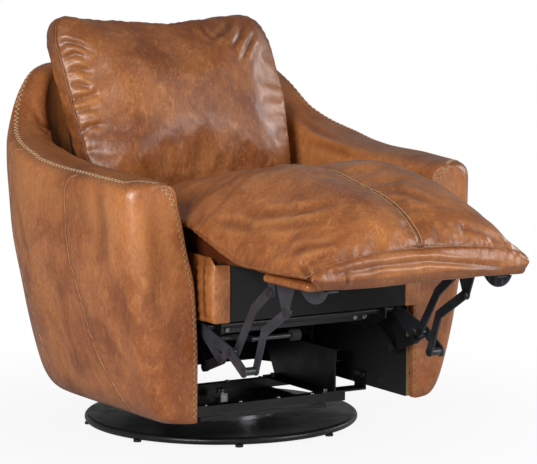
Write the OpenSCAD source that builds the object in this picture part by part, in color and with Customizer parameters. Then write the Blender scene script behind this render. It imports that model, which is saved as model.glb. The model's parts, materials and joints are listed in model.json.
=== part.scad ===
// Swivel recliner: an upholstered tub on a round swivel base, with a
// reclining back, a sliding seat and a folding footrest on a bar linkage.
// The chair faces -Y. The origin is on the swivel axis at floor level.
// Left and right are the sitter's own, so left is +X.

/* [Base] */
// Radius of the round steel base
base_r = 314; // [280:1:340]
// Height of the deck of the base above the floor
base_top = 22; // [18:1:30]
// Thickness of the pressed steel deck
base_t = 4; // [3:0.5:6]
// Height of the rubber feet under the rim
foot_h = 5; // [3:0.5:8]
// Radius of each rubber foot
foot_r = 9; // [6:0.5:14]
// Number of rubber feet
foot_count = 8; // [6:1:12]
// Mean radius of the ball race
race_r = 110; // [90:1:130]
// Width of each race ring
race_w = 34; // [28:1:44]
// Thickness of each race ring
race_t = 12; // [10:0.5:16]
// Radius of the bearing balls
ball_r = 6; // [5:0.5:7]
// Number of bearing balls
ball_count = 18; // [12:1:24]
// Radius of the swivel bolt
bolt_r = 10; // [8:0.5:14]

/* [Lower frame] */
// Side of the square cross rails on the swivel plate
rail_side = 22; // [18:1:28]
// Distance of the front cross rail ahead of the swivel axis
rail_front = 172; // [150:1:200]
// Distance of the rear cross rail behind the swivel axis
rail_rear = 58; // [40:1:90]
// Reach of each cross rail beyond the side plates
rail_overhang = 32; // [25:1:36]
// Thickness of the swivel plate
swivel_plate_t = 8; // [6:1:12]
// Height of the upright side plates
side_plate_h = 100; // [90:1:110]
// Thickness of the upright side plates and of all steel links
steel_t = 4; // [3:0.5:5]
// Width for the slide between each side plate and the seat plate
slide_room = 18; // [16:1:24]

/* [Tub] */
// Width across the arms at their widest
tub_w = 922; // [880:1:980]
// Distance from the swivel axis forward to the arm fronts
tub_front = 380; // [360:1:400]
// Distance from the swivel axis back to the outer back
tub_rear = 432; // [420:1:470]
// Height of the hem above the floor
hem_z = 85; // [75:1:95]
// Height of the arm top at the front
arm_top = 612; // [590:1:640]
// Height of the top of the outer back
back_top = 812; // [780:1:850]
// Width for the linkage between each seat plate and the lining of the arm
link_room = 64; // [62:1:72]
// Clear width between the arms at the front of their top
gap_top = 642; // [630:1:660]
// Plan radius of the outer front corner of each arm
arm_corner_r = 45; // [30:1:60]
// Height of the rolled top of the arms and the back
top_roll = 45; // [35:1:55]
// Thickness of the plywood boards in the arms and the back
board_t = 16; // [12:1:18]
// Thickness of the black inner linings
lining_t = 3; // [2:0.5:4]
// Height of the plywood boards above the hem
board_h = 313; // [300:1:314]

/* [Seat frame] */
// Half width of the seat frame over its side rails
seat_half = 208; // [206:1:210]
// Section width of the wooden seat rails
seat_rail_w = 30; // [24:1:36]
// Section height of the wooden seat rails
seat_rail_h = 60; // [50:1:70]
// Height of the underside of the seat rails
seat_rail_z = 312; // [306:1:316]
// Distance of the front face of the seat box ahead of the swivel axis
seat_front = 422; // [410:1:430]
// Distance of the rear end of the seat frame behind the swivel axis
seat_back = 200; // [190:1:210]
// Thickness of the front board of the seat box
front_board_t = 20; // [16:1:22]
// Height of the front board of the seat box
front_board_h = 123; // [110:1:130]
// Gap from each end of the front board to the lining of the arm
board_gap = 14; // [12:1:22]
// Width of the leather wrap at each end of the front board
wrap_w = 35; // [25:1:50]
// Thickness of the leather wrap and of the black front panel
wrap_t = 3; // [2:0.5:4]
// Reach of the leather wrap back along the side of the seat
wrap_l = 108; // [90:1:130]
// Height of the leather wrap at the side above the front board
wrap_rise = 18; // [8:1:20]
// Number of sinuous seat springs
spring_count = 5; // [3:1:6]
// Thickness of the spring steel
spring_t = 4; // [3:0.5:5]
// Side of the square cross rail of the linkage
cross_side = 16; // [12:1:20]

/* [Slide] */
// Length of each seat slide channel
channel_l = 356; // [350:1:370]
// Length of each seat slide bar
slide_l = 210; // [200:1:214]
// Height of each seat slide bar
slide_h = 23; // [18:1:24]

/* [Linkage] */
// Width of the steel link bars
bar_w = 21; // [18:1:23]
// Radius of the link rivets
rivet_r = 5; // [4:0.5:6]
// Radius of the spacers and rivet heads
spacer_r = 9; // [8:0.5:10]
// Radius of the torque tube that joins the two cranks
tube_r = 8; // [7:0.5:9]
// Gap between neighbouring planes of links
plane_gap = 2; // [1.5:0.5:2.5]
// Distance of the torque tube ahead of the swivel axis
tube_front = 345; // [340:1:350]
// Height of the torque tube
tube_z = 287; // [284:1:290]
// Distance ahead of the swivel axis at which the footrest turns
fold_front = 475; // [472:1:480]
// Height at which the footrest turns
fold_z = 430; // [426:1:431]

/* [Footrest] */
// Distance of the front edge of the board ahead of the swivel axis
board_front = 814; // [800:1:830]
// Length of the footrest board
footboard_l = 176; // [160:1:200]
// Half width of the footrest board
footboard_half = 272; // [255:1:280]
// Thickness of the footrest board
footboard_t = 19; // [16:1:22]
// Height of the underside of the footrest board
footboard_z = 424; // [422:1:426]

/* [Cushions] */
// Half width of the seat cushion and footrest pad
pad_half = 300; // [290:1:303]
// Height of the highest part of the pad, over the knees
pad_top = 638; // [615:1:655]
// Distance of the front of the footrest pad ahead of the swivel axis
pad_front = 832; // [826:1:850]
// Distance of the rear edge of the seat cushion behind the swivel axis
pad_back = 90; // [80:1:100]
// Half width of the back cushion
pillow_half = 303; // [290:1:306]
// Height of the back cushion along its own slope
pillow_h = 437; // [420:1:450]
// Forward crown of the back cushion
pillow_crown = 74; // [60:1:80]
// Rear crown of the back cushion
pillow_rear_crown = 20; // [14:1:21]
// Half thickness of the boxed edge of the back cushion
pillow_edge = 30; // [24:1:30]

/* [Back] */
// Lean of the back from the vertical
lean = 18; // [17:0.5:19]
// Distance of the back hinge behind the swivel axis
hinge_back = 185; // [182:1:186]
// Height of the back hinge
hinge_z = 342; // [338:1:346]
// Height of the top of the back frame along its slope
frame_h = 480; // [460:1:484]
// Reach of the back frame beyond the seat plates
frame_overhang = 34; // [24:1:38]
// Thickness of the back frame board
frame_t = 20; // [18:1:20]
// Radius of the top corners of the back frame
frame_r = 80; // [70:1:100]

/* [Hidden] */
$fn = 64;

// Overrun of every cut past the faces it opens
over = 1;
// Small clearance between parts that almost touch
clear = 0.3;
// Radial clearance of a rivet or pin in its hole
pin_clear = 0.05;

// Heights of the lower frame
race_low_z = base_top;
ball_lift = 2 * ball_r + clear - race_t / 2;
race_high_z = race_low_z + race_t + ball_lift - race_t / 2;
ball_z = (race_low_z + race_t + race_high_z) / 2;
swivel_plate_z = race_high_z + race_t;
rail_z = swivel_plate_z + swivel_plate_t;
rail_top = rail_z + rail_side;
side_plate_top = rail_top + side_plate_h;
side_plate_out = seat_half - slide_room;
side_plate_x = side_plate_out - steel_t;
rail_half = side_plate_out + rail_overhang;
side_plate_front = rail_front + rail_side;
side_plate_rear = channel_l - side_plate_front;
swivel_plate_half = side_plate_x - rail_side;
fixing_r = 7;
fixing_t = steel_t;

// Slide channel and bar
channel_t = 2;
channel_h = slide_h + 2 * channel_t + 2 * clear;
channel_z = side_plate_top - channel_h;
slide_x = side_plate_out + channel_t + clear;
slide_rear = side_plate_rear - steel_t;

// Tub plan and section
tub_half = tub_w / 2;
rear_y = 47;
rear_reach = tub_rear - rear_y;
arm_bow = 17;
outer_power = 2.4;
inner_power = 4;
inner_low = seat_half + link_room;
inner_step = inner_low + lining_t + board_t + plane_gap;
board_reach = 43;
inner_rear_low = 225;
inner_rear_top = 300;
rear_board_share = 0.82;
rear_face_share = 0.88;
edge_soft = 8;
wrap_depth = 22;
arm_board_front = tub_front - wrap_depth - 2 * plane_gap;
arm_board_rear = rear_y + board_reach;
tub_rise = back_top - hem_z;
// Height shares and width shares of the outer face, from the hem up
taper_z_shares = [0, 0.03, 0.066, 0.11, 0.158, 0.243, 0.37, 0.502, 0.626, 0.736, 0.818, 0.898, 0.952, 1];
taper_w_shares = [0.772, 0.81, 0.837, 0.859, 0.88, 0.911, 0.946, 0.98, 0.9935, 1, 0.997, 0.983, 0.965, 0.945];
// Height shares and spread shares of the inner face, from the hem up
inner_z_shares = [0.241, 0.351, 0.426, 0.509, 0.585, 0.664, 0.736, 0.846, 1];
inner_w_shares = [0, 0.06, 0.18, 0.49, 0.69, 1, 1.18, 1.35, 1.4];
inner_rear_z_shares = [0.488, 0.664, 0.846, 0.928];
inner_rear_w_shares = [0, 0.5, 0.9, 1];
// Places along the chair, as shares of the front reach, and the rise of the top there
ridge_y_shares = [-1, -0.49, -0.137, 0.124, 0.224, 0.492, 0.671, 0.789, 0.868, 0.926];
ridge_z_shares = [0, 0.035, 0.055, 0.1, 0.13, 0.23, 0.4, 0.74, 0.94, 1];
// Height shares of the rings of the tub section below its rolled top
level_shares = [0, 0.03, 0.08, 0.15, 0.25, 0.4, 0.55, 0.7, 0.85, 1];
roll_steps = 5;
roll_end = 82;
roll_power = 0.72;
arm_length_shares = [0.25, 0.5, 0.75, 1];
corner_shares = [0, 0.09, 0.28];
rear_steps = 18;

// Seat frame
seat_rail_top = seat_rail_z + seat_rail_h;
front_drop = 5;
front_board_z = seat_rail_z - front_drop;
front_board_top = front_board_z + front_board_h;
front_board_half = inner_low - board_gap;
seat_plate_x = seat_half;
seat_plate_out = seat_plate_x + steel_t;
cross_z = 262;
cross_front = 312;
spring_amp = 26;
spring_waves = 7;
spring_samples = 12;
spring_span = seat_half - seat_rail_w;

bar_steps = 12;
// Planes of the linkage, each the inner face of its plate
lower_link_x = seat_plate_out + 3 * plane_gap;
bracket_x = lower_link_x + steel_t + plane_gap;
front_link_x = bracket_x + steel_t + plane_gap;
rear_arm_x = front_link_x + steel_t + plane_gap;
drive_link_x = rear_arm_x + steel_t + plane_gap;
crank_x = drive_link_x + steel_t + plane_gap;

// Pivots of the linkage as [y, z]. The two cranks and the footrest turn
// alike, so each link joins points that stay one fixed offset apart.
tube_at = [-tube_front, tube_z];
fold_at = [-fold_front, fold_z];
link_offset = fold_at - tube_at;
mid_offset = [-125, -35];
end_offset = [-182, -69];
heel_offset = [-85, -57];
rod_offset = [-135, -10];
root_share = 0.48;
front_knee_offset = [-70, 100];
lower_knee_offset = [-35, 87];
crank_mid = tube_at + mid_offset;
crank_end = tube_at + end_offset;
crank_heel = tube_at + heel_offset;
rod_at = tube_at + rod_offset;
root_at = tube_at + root_share * mid_offset;
front_knee = crank_mid + front_knee_offset;
lower_knee = crank_end + lower_knee_offset;
bracket_rear = crank_mid + link_offset;
bracket_front = crank_end + link_offset;
arm_offset = [80, -29];
arm_at = tube_at + arm_offset;
arm_end = crank_heel + arm_offset;
stop_r = 12;
stop_l = 20;
rod_inner = 105;

// Footrest
footboard_top = footboard_z + footboard_t;
footboard_rear = board_front - footboard_l;
flange_w = 28;
moon_half = 53;
moon_depth = 31;
moon_front = 767;

// Cushions
pad_low = seat_rail_top + spring_t + clear;
pad_rise = pad_top - pad_low;
over_board = front_board_top + clear;
over_footboard = footboard_top + clear;
pad_power = 2.6;
pad_round = 0.62;
draw_share = 0.965;
pad_lip = 12;
tuck_in = 20;
under_share = 0.94;
tuck_half = front_board_half - tuck_in;
pad_cols = 16;
// Share of its full rise that the face of the long pad has at each share of the half width
pad_s_shares = [0, 0.1, 0.233, 0.4, 0.567, 0.733, 0.867, 0.95, 1];
pad_rise_shares = [0.895, 0.95, 1, 0.976, 0.894, 0.692, 0.394, 0.173, 0];
board_back_y = front_board_t - seat_front;
// Each row: place along Y, then shares of crown, seam and width, then the underside
pad_rows = [
    [pad_back, 0.478, 0.358, 0.967, pad_low],
    [0.45 * pad_back, 0.586, 0.427, 0.99, pad_low],
    [0, 0.652, 0.479, 1, pad_low],
    [0.25 * board_back_y, 0.751, 0.519, 1, pad_low],
    [0.5 * board_back_y, 0.83, 0.533, 1, pad_low],
    [0.75 * board_back_y, 0.901, 0.541, 1, pad_low],
    [0.92 * board_back_y, 0.945, 0.533, 1, pad_low],
    [board_back_y + steel_t, 0.966, 0.499, 1, pad_low],
    [board_back_y + clear, 0.968, 0.491, 1, over_board],
    [-fold_front + front_board_t, 0.997, 0.439, 1, over_board],
    [-fold_front - front_board_t, 1, 0.389, 1, over_board],
    [-0.52 * fold_front - 0.48 * footboard_rear, 0.962, 0.335, 0.993, over_board],
    [-footboard_rear + steel_t, 0.906, 0.297, 0.98, over_board],
    [-footboard_rear, 0.901, 0.296, 0.978, over_footboard],
    [-0.75 * footboard_rear - 0.25 * board_front, 0.86, 0.285, 0.96, over_footboard],
    [-0.5 * footboard_rear - 0.5 * board_front, 0.801, 0.289, 0.945, over_footboard],
    [-0.25 * footboard_rear - 0.75 * board_front, 0.713, 0.297, 0.93, over_footboard],
    [-0.05 * footboard_rear - 0.95 * board_front, 0.604, 0.301, 0.917, over_footboard],
    [-board_front - clear, 0.548, 0.301, 0.913, over_footboard],
    [-board_front - steel_t, 0.517, 0.3, 0.912, footboard_z + clear],
    [-0.4 * board_front - 0.6 * pad_front, 0.456, 0.293, 0.905, footboard_z + clear],
    [-pad_front, 0.336, 0.259, 0.873, footboard_z + steel_t]];

// Back
hinge_at = [hinge_back, hinge_z];
hinge_gap = 10;
frame_out = -hinge_gap;
frame_half = seat_plate_out + frame_overhang;
frame_in = frame_out - frame_t;
frame_low = 60;
hinge_arm_l = 200;
hinge_arm_w = 24;
hinge_arm_r = 17;
pillow_rear = frame_in - clear;
pillow_mid = pillow_rear - pillow_edge - pillow_rear_crown;
pillow_low = 150;
pillow_rows_shares = [-1, -0.95, -0.84, -0.62, -0.32, 0, 0.32, 0.62, 0.84, 0.95, 1];
pillow_corner_share = 0.055;
rear_draw_share = 0.96;
rear_share = 0.92;
pillow_dip_share = 0.045;

// Turns a flat outline in Y and Z into a plate that starts at x
module plate(x, t) {
    translate([x, 0, 0])
        rotate([90, 0, 90])
            linear_extrude(t)
                children();
}

// Shows its children on the left for 1 and on the right for -1
module on_side(side) {
    mirror([side > 0 ? 0 : 1, 0, 0])
        children();
}

// Half of a round end about p, from the direction a over 180 degrees
function round_end(p, a, w) =
    [for (k = [0 : bar_steps]) p + w / 2 * [cos(a + 180 * k / bar_steps), sin(a + 180 * k / bar_steps)]];

// Corner of a bent bar at k on its way from a to b, on the side given by the sign
function knee(a, k, b, w, sign) =
    let (u = (k - a) / norm(k - a), v = (b - k) / norm(b - k), m = (u + v) / norm(u + v))
    k + sign * w / 2 / (u * m) * [-m[1], m[0]];

// Outline of a bar with round ends through a row of two or three points
module bar(row, w) {
    n = len(row);
    a = row[0];
    b = row[n - 1];
    start = atan2(row[1][1] - a[1], row[1][0] - a[0]);
    end = atan2(b[1] - row[n - 2][1], b[0] - row[n - 2][0]);
    polygon(concat(round_end(a, start + 90, w),
        n > 2 ? [knee(a, row[1], b, w, -1)] : [],
        round_end(b, end - 90, w),
        n > 2 ? [knee(a, row[1], b, w, 1)] : []));
}

// A flat hole at a point of an outline
module hole(p, r) {
    translate(p)
        circle(r = r);
}

// A pin along X, from x to x + l, at the point p in Y and Z
module pin(x, l, p, r) {
    translate([x, p[0], p[1]])
        rotate([0, 90, 0])
            cylinder(r = r, h = l);
}

// A rivet with a shank, and a head at each end
module rivet(x0, x1, p) {
    head = plane_gap - clear;
    pin(x0 - head, x1 - x0 + 2 * head, p, rivet_r);
    pin(x0 - head, head - clear / 2, p, spacer_r);
    pin(x1 + clear / 2, head - clear / 2, p, spacer_r);
}

// A block given by two opposite corners
module block(a, b) {
    translate(a)
        cube(b - a);
}

// Closes a row of rings into a solid. Each ring holds an outer run and then
// an inner run of as many points in the opposite order.
module ring_solid(rings) {
    n = len(rings[0]);
    m = n / 2;
    count = len(rings);
    points = [for (ring = rings) for (p = ring) p];
    last = (count - 1) * n;
    sides = [for (i = [0 : count - 2]) for (j = [0 : n - 1])
        let (a = i * n + j, b = i * n + (j + 1) % n)
            for (f = [[a, b, b + n], [a, b + n, a + n]]) f];
    front = [for (j = [0 : m - 2])
        for (f = [[j, n - 1 - j, j + 1], [j + 1, n - 1 - j, n - 2 - j]]) f];
    rear = [for (j = [0 : m - 2])
        for (f = [[j, j + 1, n - 1 - j], [j + 1, n - 2 - j, n - 1 - j]]) [for (k = f) last + k]];
    polyhedron(points, concat(sides, front, rear));
}

// Share of the full half width that the outer face has at height z
function taper(z) = lookup((z - hem_z) / tub_rise,
    [for (i = [0 : len(taper_z_shares) - 1]) [taper_z_shares[i], taper_w_shares[i]]]);

// Half of the clear width between the arms at height z
function inner_half(z) = inner_low + (gap_top / 2 - inner_low) * lookup((z - hem_z) / tub_rise,
    [for (i = [0 : len(inner_z_shares) - 1]) [inner_z_shares[i], inner_w_shares[i]]]);

// Reach of the inner face of the back behind rear_y at height z
function inner_rear(z) = inner_rear_low + (inner_rear_top - inner_rear_low) * lookup(
    (z - hem_z) / tub_rise,
    [for (i = [0 : len(inner_rear_z_shares) - 1]) [inner_rear_z_shares[i], inner_rear_w_shares[i]]]);

// Height of the top of the tub at the place y
function ridge(y) = arm_top + (back_top - arm_top) * lookup(y / tub_front,
    [for (i = [0 : len(ridge_y_shares) - 1]) [ridge_y_shares[i], ridge_z_shares[i]]]);

// Point on a rounded plan corner with half width a and reach b at turn t
function rounded(a, b, t, power) =
    [a * pow(max(cos(t), 0), 2 / power), rear_y + b * pow(max(sin(t), 0), 2 / power)];

// One ring of the tub section. wall(z) is found from the two plan points at z.
function tub_ring(top, outer, inner) =
    let (low = top - top_roll,
        zs = [for (s = level_shares) hem_z + s * (low - hem_z)],
        n = len(zs),
        up = [for (i = [0 : n - 1]) [outer[i][0], outer[i][1], zs[i]]],
        down = [for (i = [n - 1 : -1 : 0]) [inner[i][0], inner[i][1], zs[i]]],
        mid = (outer[n - 1] + inner[n - 1]) / 2,
        half = (outer[n - 1] - inner[n - 1]) / 2,
        rise = [for (k = [1 : roll_steps]) let (a = k * roll_end / roll_steps)
            concat(mid + half * pow(cos(a), roll_power), [low + top_roll * pow(sin(a), roll_power)])],
        fall = [for (k = [roll_steps : -1 : 1]) let (a = k * roll_end / roll_steps)
            concat(mid - half * pow(cos(a), roll_power), [low + top_roll * pow(sin(a), roll_power)])])
    concat(up, rise, fall, down);

function section_z(top) = [for (s = level_shares) hem_z + s * (top - top_roll - hem_z)];

// How far the front corner draws the outer face in at the distance d behind the front
function corner_inset(d) = d < arm_corner_r ?
    arm_corner_r - sqrt(pow(arm_corner_r, 2) - pow(arm_corner_r - d, 2)) : 0;

// Ring of the arm at the distance d behind its front face
function arm_ring(d) =
    let (y = d - tub_front,
        soft = edge_soft * corner_inset(d) / arm_corner_r,
        top = ridge(y) - soft,
        bow = arm_bow * pow((rear_y - y) / (rear_y + tub_front), 2),
        zs = section_z(top),
        outer = [for (z = zs) [(tub_half - bow) * taper(z) - corner_inset(d), y]],
        inner = [for (z = zs) [d <= wrap_depth ? inner_half(z) + soft / 2 :
            max(inner_half(z), inner_step), y]])
    tub_ring(top, outer, inner);

// Ring of the back at the turn t, from 0 at the left to 180 at the right
function back_ring(t) =
    let (u = t <= 90 ? t : 180 - t,
        side = t <= 90 ? 1 : -1,
        middle = rear_y + (rear_reach + inner_rear_top) / 2 * pow(max(sin(u), 0), 2 / 3),
        top = ridge(middle),
        zs = section_z(top),
        outer = [for (z = zs) let (p = rounded(tub_half * taper(z), rear_reach * taper(z), u,
            outer_power)) [side * p[0], p[1]]],
        inner = [for (z = zs) let (p = rounded(max(inner_half(z), inner_step), inner_rear(z), u,
            inner_power)) [side * p[0], p[1]]])
    tub_ring(top, outer, inner);

arm_places = concat(
    [for (s = corner_shares) s * arm_corner_r],
    [wrap_depth, wrap_depth + plane_gap, 0.75 * arm_corner_r, arm_corner_r],
    [for (s = arm_length_shares) arm_corner_r + s * (rear_y + tub_front - arm_corner_r)]);

// Ring of a cushion across x, with a crowned face, drawn-in sides and a flat underside.
// draw is the half width at the height mid of the side and low the half width from
// the height step down.
function pad_ring(y, crown, seam, half, under, draw, low, rises, mid, step) =
    let (face = [for (j = [0 : pad_cols])
            [half * cos(180 * j / pad_cols), y, seam + (crown - seam) * rises[j]]],
        base = [for (j = [pad_cols : -1 : 0]) let (s = cos(180 * j / pad_cols))
            [low * s, y, under]])
    concat([[draw, y, mid]], face, [[-draw, y, mid], [-low, y, step]], base,
        [[low, y, step]]);

// Shares of the rise of the face across a plain cushion
plain_rises = [for (j = [0 : pad_cols])
    pow(max(1 - pow(abs(cos(180 * j / pad_cols)), pad_power), 0), pad_round)];

// The same across the long pad, which has a valley along its centre seam
seamed_rises = [for (j = [0 : pad_cols]) lookup(abs(cos(180 * j / pad_cols)),
    [for (i = [0 : len(pad_s_shares) - 1]) [pad_s_shares[i], pad_rise_shares[i]]])];

// Row of the pad at the place y, between the rows of the table
function pad_row(y) =
    concat([y], [for (i = [1 : 4]) lookup(y, [for (r = pad_rows) [r[0], r[i]]])]);

// A cushion across the chair through some rows of the table
module pad_solid(rows) {
    ring_solid([for (r = rows)
        let (half = pad_half * r[3],
            seam = pad_low + pad_rise * r[2],
            lip = min(pad_lip, (seam - r[4]) / 2),
            low = r[4] < over_footboard && r[0] > -board_front ? tuck_half : half * under_share)
            pad_ring(r[0], pad_low + pad_rise * r[1], seam, half, r[4], half * draw_share, low,
                seamed_rises, seam - lip, seam - 1.5 * lip)]);
}

// Lays out its children along the slope of the back
module on_back() {
    translate([0, hinge_at[0], hinge_at[1]])
        rotate([-lean, 0, 0])
            children();
}

// Base

module base_disc() {
    rim = base_top - foot_h;
    color([0.07, 0.07, 0.08])
        difference() {
            rotate_extrude($fn = 128)
                union() {
                    translate([0, base_top - base_t])
                        square([base_r - rim / 2, base_t]);
                    translate([base_r - rim / 2, foot_h + rim / 2])
                        circle(r = rim / 2);
                }
            translate([0, 0, -over])
                cylinder(r = bolt_r, h = base_top + 2 * over);
        }
}

module base_feet() {
    rim = base_top - foot_h;
    color([0.05, 0.05, 0.05])
        for (i = [0 : foot_count - 1])
            rotate([0, 0, (i + 0.5) * 360 / foot_count])
                translate([base_r - rim / 2, 0, 0])
                    cylinder(r = foot_r, h = foot_h);
}

// One race ring with a ball groove on the side given by the height of the ball centres
module race(z, ball_z) {
    color([0.45, 0.46, 0.48])
        rotate_extrude($fn = 96)
            difference() {
                translate([race_r - race_w / 2, z])
                    square([race_w, race_t]);
                translate([race_r, ball_z])
                    circle(r = ball_r + pin_clear, $fn = 32);
            }
}

module lower_race() {
    race(race_low_z, ball_z);
}

module upper_race() {
    race(race_high_z, ball_z);
}

module bearing_balls() {
    color([0.75, 0.76, 0.78])
        for (i = [0 : ball_count - 1])
            rotate([0, 0, i * 360 / ball_count])
                translate([race_r, 0, ball_z])
                    sphere(r = ball_r, $fn = 32);
}

module swivel_bolt() {
    color([0.5, 0.5, 0.52])
        union() {
            translate([0, 0, foot_h])
                cylinder(r = 2 * bolt_r, h = base_top - base_t - foot_h);
            translate([0, 0, foot_h])
                cylinder(r = bolt_r, h = rail_z + 2 * bolt_r - foot_h);
        }
}

module swivel_nut() {
    color([0.6, 0.6, 0.62])
        difference() {
            translate([0, 0, rail_z + clear])
                cylinder(r = 1.7 * bolt_r, h = bolt_r, $fn = 6);
            translate([0, 0, rail_z])
                cylinder(r = bolt_r, h = bolt_r + over);
        }
}

// Lower frame

module swivel_plate() {
    color([0.1, 0.1, 0.11])
        difference() {
            block([-swivel_plate_half, -rail_front - rail_side, swivel_plate_z],
                [swivel_plate_half, rail_front, rail_z]);
            translate([0, 0, swivel_plate_z - over])
                cylinder(r = bolt_r + clear, h = swivel_plate_t + 2 * over);
        }
}

// A square tube along X with its centre at y
module cross_tube(y, z, side, half) {
    wall = side / 8;
    color([0.08, 0.08, 0.09])
        difference() {
            block([-half, y - side / 2, z], [half, y + side / 2, z + side]);
            block([-half - over, y - side / 2 + wall, z + wall],
                [half + over, y + side / 2 - wall, z + side - wall]);
        }
}

module front_base_rail() {
    cross_tube(-rail_front, rail_z, rail_side, rail_half);
}

module rear_base_rail() {
    cross_tube(rail_rear, rail_z, rail_side, rail_half);
}

// Upright plate on the two cross rails, with a foot along its inner side
module side_plate(side) {
    slope = side_plate_h / 3;
    foot_rear = rail_rear + rail_side / 2;
    color([0.2, 0.2, 0.22])
        on_side(side)
            union() {
                plate(side_plate_x, steel_t)
                    polygon([[-side_plate_front, rail_top], [foot_rear, rail_top],
                        [foot_rear + slope, channel_z - rail_side / 2],
                        [side_plate_rear, channel_z - steel_t],
                        [side_plate_rear, side_plate_top],
                        [-side_plate_front, side_plate_top]]);
                block([side_plate_x - slope, -side_plate_front, rail_top],
                    [side_plate_x, foot_rear, rail_top + steel_t]);
            }
}

// Angle bracket from a cross rail to the board in the arm
module rail_bracket(y) {
    half = rail_side;
    block([side_plate_out, y - half, rail_top], [inner_low, y + half, rail_top + steel_t]);
    block([inner_low - steel_t, y - half, rail_top],
        [inner_low, y + half, rail_top + 2 * rail_side]);
}

module rail_brackets() {
    color([0.09, 0.09, 0.1])
        for (side = [1, -1])
            on_side(side)
                for (y = [-rail_front, rail_rear])
                    rail_bracket(y);
}

module frame_bolts() {
    bolt_z = rail_top + 1.5 * rail_side;
    color([0.55, 0.55, 0.57])
        for (side = [1, -1])
            on_side(side) {
                for (y = [-rail_front, rail_rear])
                    for (step = [-1, 1])
                        pin(inner_low - steel_t - fixing_t, fixing_t,
                            [y + step * rail_side / 2, bolt_z], fixing_r);
                pin(inner_low - fixing_t, fixing_t, [-1.5 * rail_front, bolt_z], fixing_r);
                for (y = [-rail_front, rail_rear])
                    translate([side_plate_x - rail_side / 2, y, rail_top + steel_t])
                        cylinder(r = fixing_r, h = fixing_t);
            }
}

module channel(side) {
    x1 = side_plate_out + channel_t + 3 * fixing_t;
    color([0.3, 0.3, 0.32])
        on_side(side)
            difference() {
                block([side_plate_out, -side_plate_front, channel_z],
                    [x1, side_plate_rear, channel_z + channel_h]);
                block([side_plate_out + channel_t, -side_plate_front - over, channel_z + channel_t],
                    [x1 + over, side_plate_rear + over, channel_z + channel_h - channel_t]);
            }
}

// Tub

module arm(side) {
    color([0.62, 0.36, 0.2])
        on_side(side)
            ring_solid([for (d = arm_places) arm_ring(d)]);
}

module outer_back() {
    color([0.6, 0.34, 0.19])
        translate([0, clear / 2, 0])
            ring_solid([for (i = [0 : rear_steps]) back_ring(i * 180 / rear_steps)]);
}

module arm_board(side) {
    color([0.72, 0.58, 0.4])
        on_side(side)
            block([inner_low + lining_t, -arm_board_front, hem_z + plane_gap],
                [inner_low + lining_t + board_t, arm_board_rear, hem_z + plane_gap + board_h]);
}

module lining(side) {
    color([0.05, 0.05, 0.06])
        on_side(side)
            block([inner_low, -arm_board_front, hem_z + plane_gap],
                [inner_low + lining_t, arm_board_rear, hem_z + plane_gap + board_h]);
}

// Rear board of the tub with a slanting board to each arm board
module rear_board() {
    half = rear_board_share * inner_low;
    face = rear_y + rear_face_share * inner_rear_low;
    a = inner_low + lining_t;
    color([0.7, 0.56, 0.38])
        translate([0, 0, hem_z + plane_gap])
            linear_extrude(board_h)
                polygon([[-half, face], [-a - board_t + plane_gap, arm_board_rear],
                    [-a, arm_board_rear], [-half + plane_gap, face - board_t],
                    [half - plane_gap, face - board_t], [a, arm_board_rear],
                    [a + board_t - plane_gap, arm_board_rear], [half, face]]);
}

// Seat

module slide_bar(side) {
    color([0.5, 0.5, 0.52])
        on_side(side)
            block([slide_x, slide_rear - slide_l, channel_z + channel_t + clear],
                [seat_plate_x, slide_rear, channel_z + channel_t + clear + slide_h]);
}

// Steel plate beside the seat rail that carries the slide bar, the tube and the hinge
module seat_plate(side) {
    low = channel_z + channel_t + clear;
    top = seat_rail_z + 0.7 * seat_rail_h;
    front = -tube_front - 3 * tube_r;
    color([0.16, 0.16, 0.18])
        on_side(side)
            plate(seat_plate_x, steel_t)
                difference() {
                    polygon([[front, top], [front, tube_z - 2 * tube_r],
                        [arm_at[0] - 2 * spacer_r, arm_at[1] - 2 * spacer_r],
                        [slide_rear - slide_l - 2 * spacer_r, arm_at[1] - 2 * spacer_r],
                        [slide_rear - slide_l, low], [slide_rear, low],
                        [hinge_at[0] + 2 * spacer_r, seat_rail_z],
                        [hinge_at[0] + 2 * spacer_r, top]]);
                    hole(tube_at, tube_r + pin_clear);
                    hole(arm_at, rivet_r + pin_clear);
                    hole(hinge_at, rivet_r + pin_clear);
                }
}

module seat_rail(side) {
    color([0.74, 0.6, 0.42])
        on_side(side)
            difference() {
                block([seat_half - seat_rail_w, board_back_y, seat_rail_z],
                    [seat_half, seat_back, seat_rail_top]);
                pin(seat_half - seat_rail_w - over, seat_rail_w + 2 * over, hinge_at,
                    rivet_r + pin_clear);
            }
}

module rear_seat_rail() {
    color([0.74, 0.6, 0.42])
        block([seat_rail_w - seat_half, seat_back - seat_rail_w, seat_rail_z],
            [seat_half - seat_rail_w, seat_back, seat_rail_top]);
}

module front_board() {
    color([0.72, 0.58, 0.4])
        block([-front_board_half, -seat_front, front_board_z],
            [front_board_half, board_back_y, front_board_top]);
}

// Black cloth panel on the middle of the front board
module front_panel() {
    half = front_board_half - wrap_w;
    color([0.05, 0.05, 0.06])
        block([-half, -seat_front - wrap_t, front_board_z], [half, -seat_front, front_board_top]);
}

// Leather wrapped round one end of the front board
module wrap(side) {
    color([0.55, 0.31, 0.17])
        on_side(side)
            union() {
                block([front_board_half - wrap_w, -seat_front - wrap_t, front_board_z],
                    [front_board_half + wrap_t, -seat_front, front_board_top]);
                block([front_board_half, -seat_front, front_board_z],
                    [front_board_half + wrap_t, wrap_l - seat_front, front_board_top + wrap_rise]);
            }
}

// Centre line of a spring at the share s of its length
function spring_x(s) = spring_amp * sin(360 * spring_waves * s);

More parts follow.
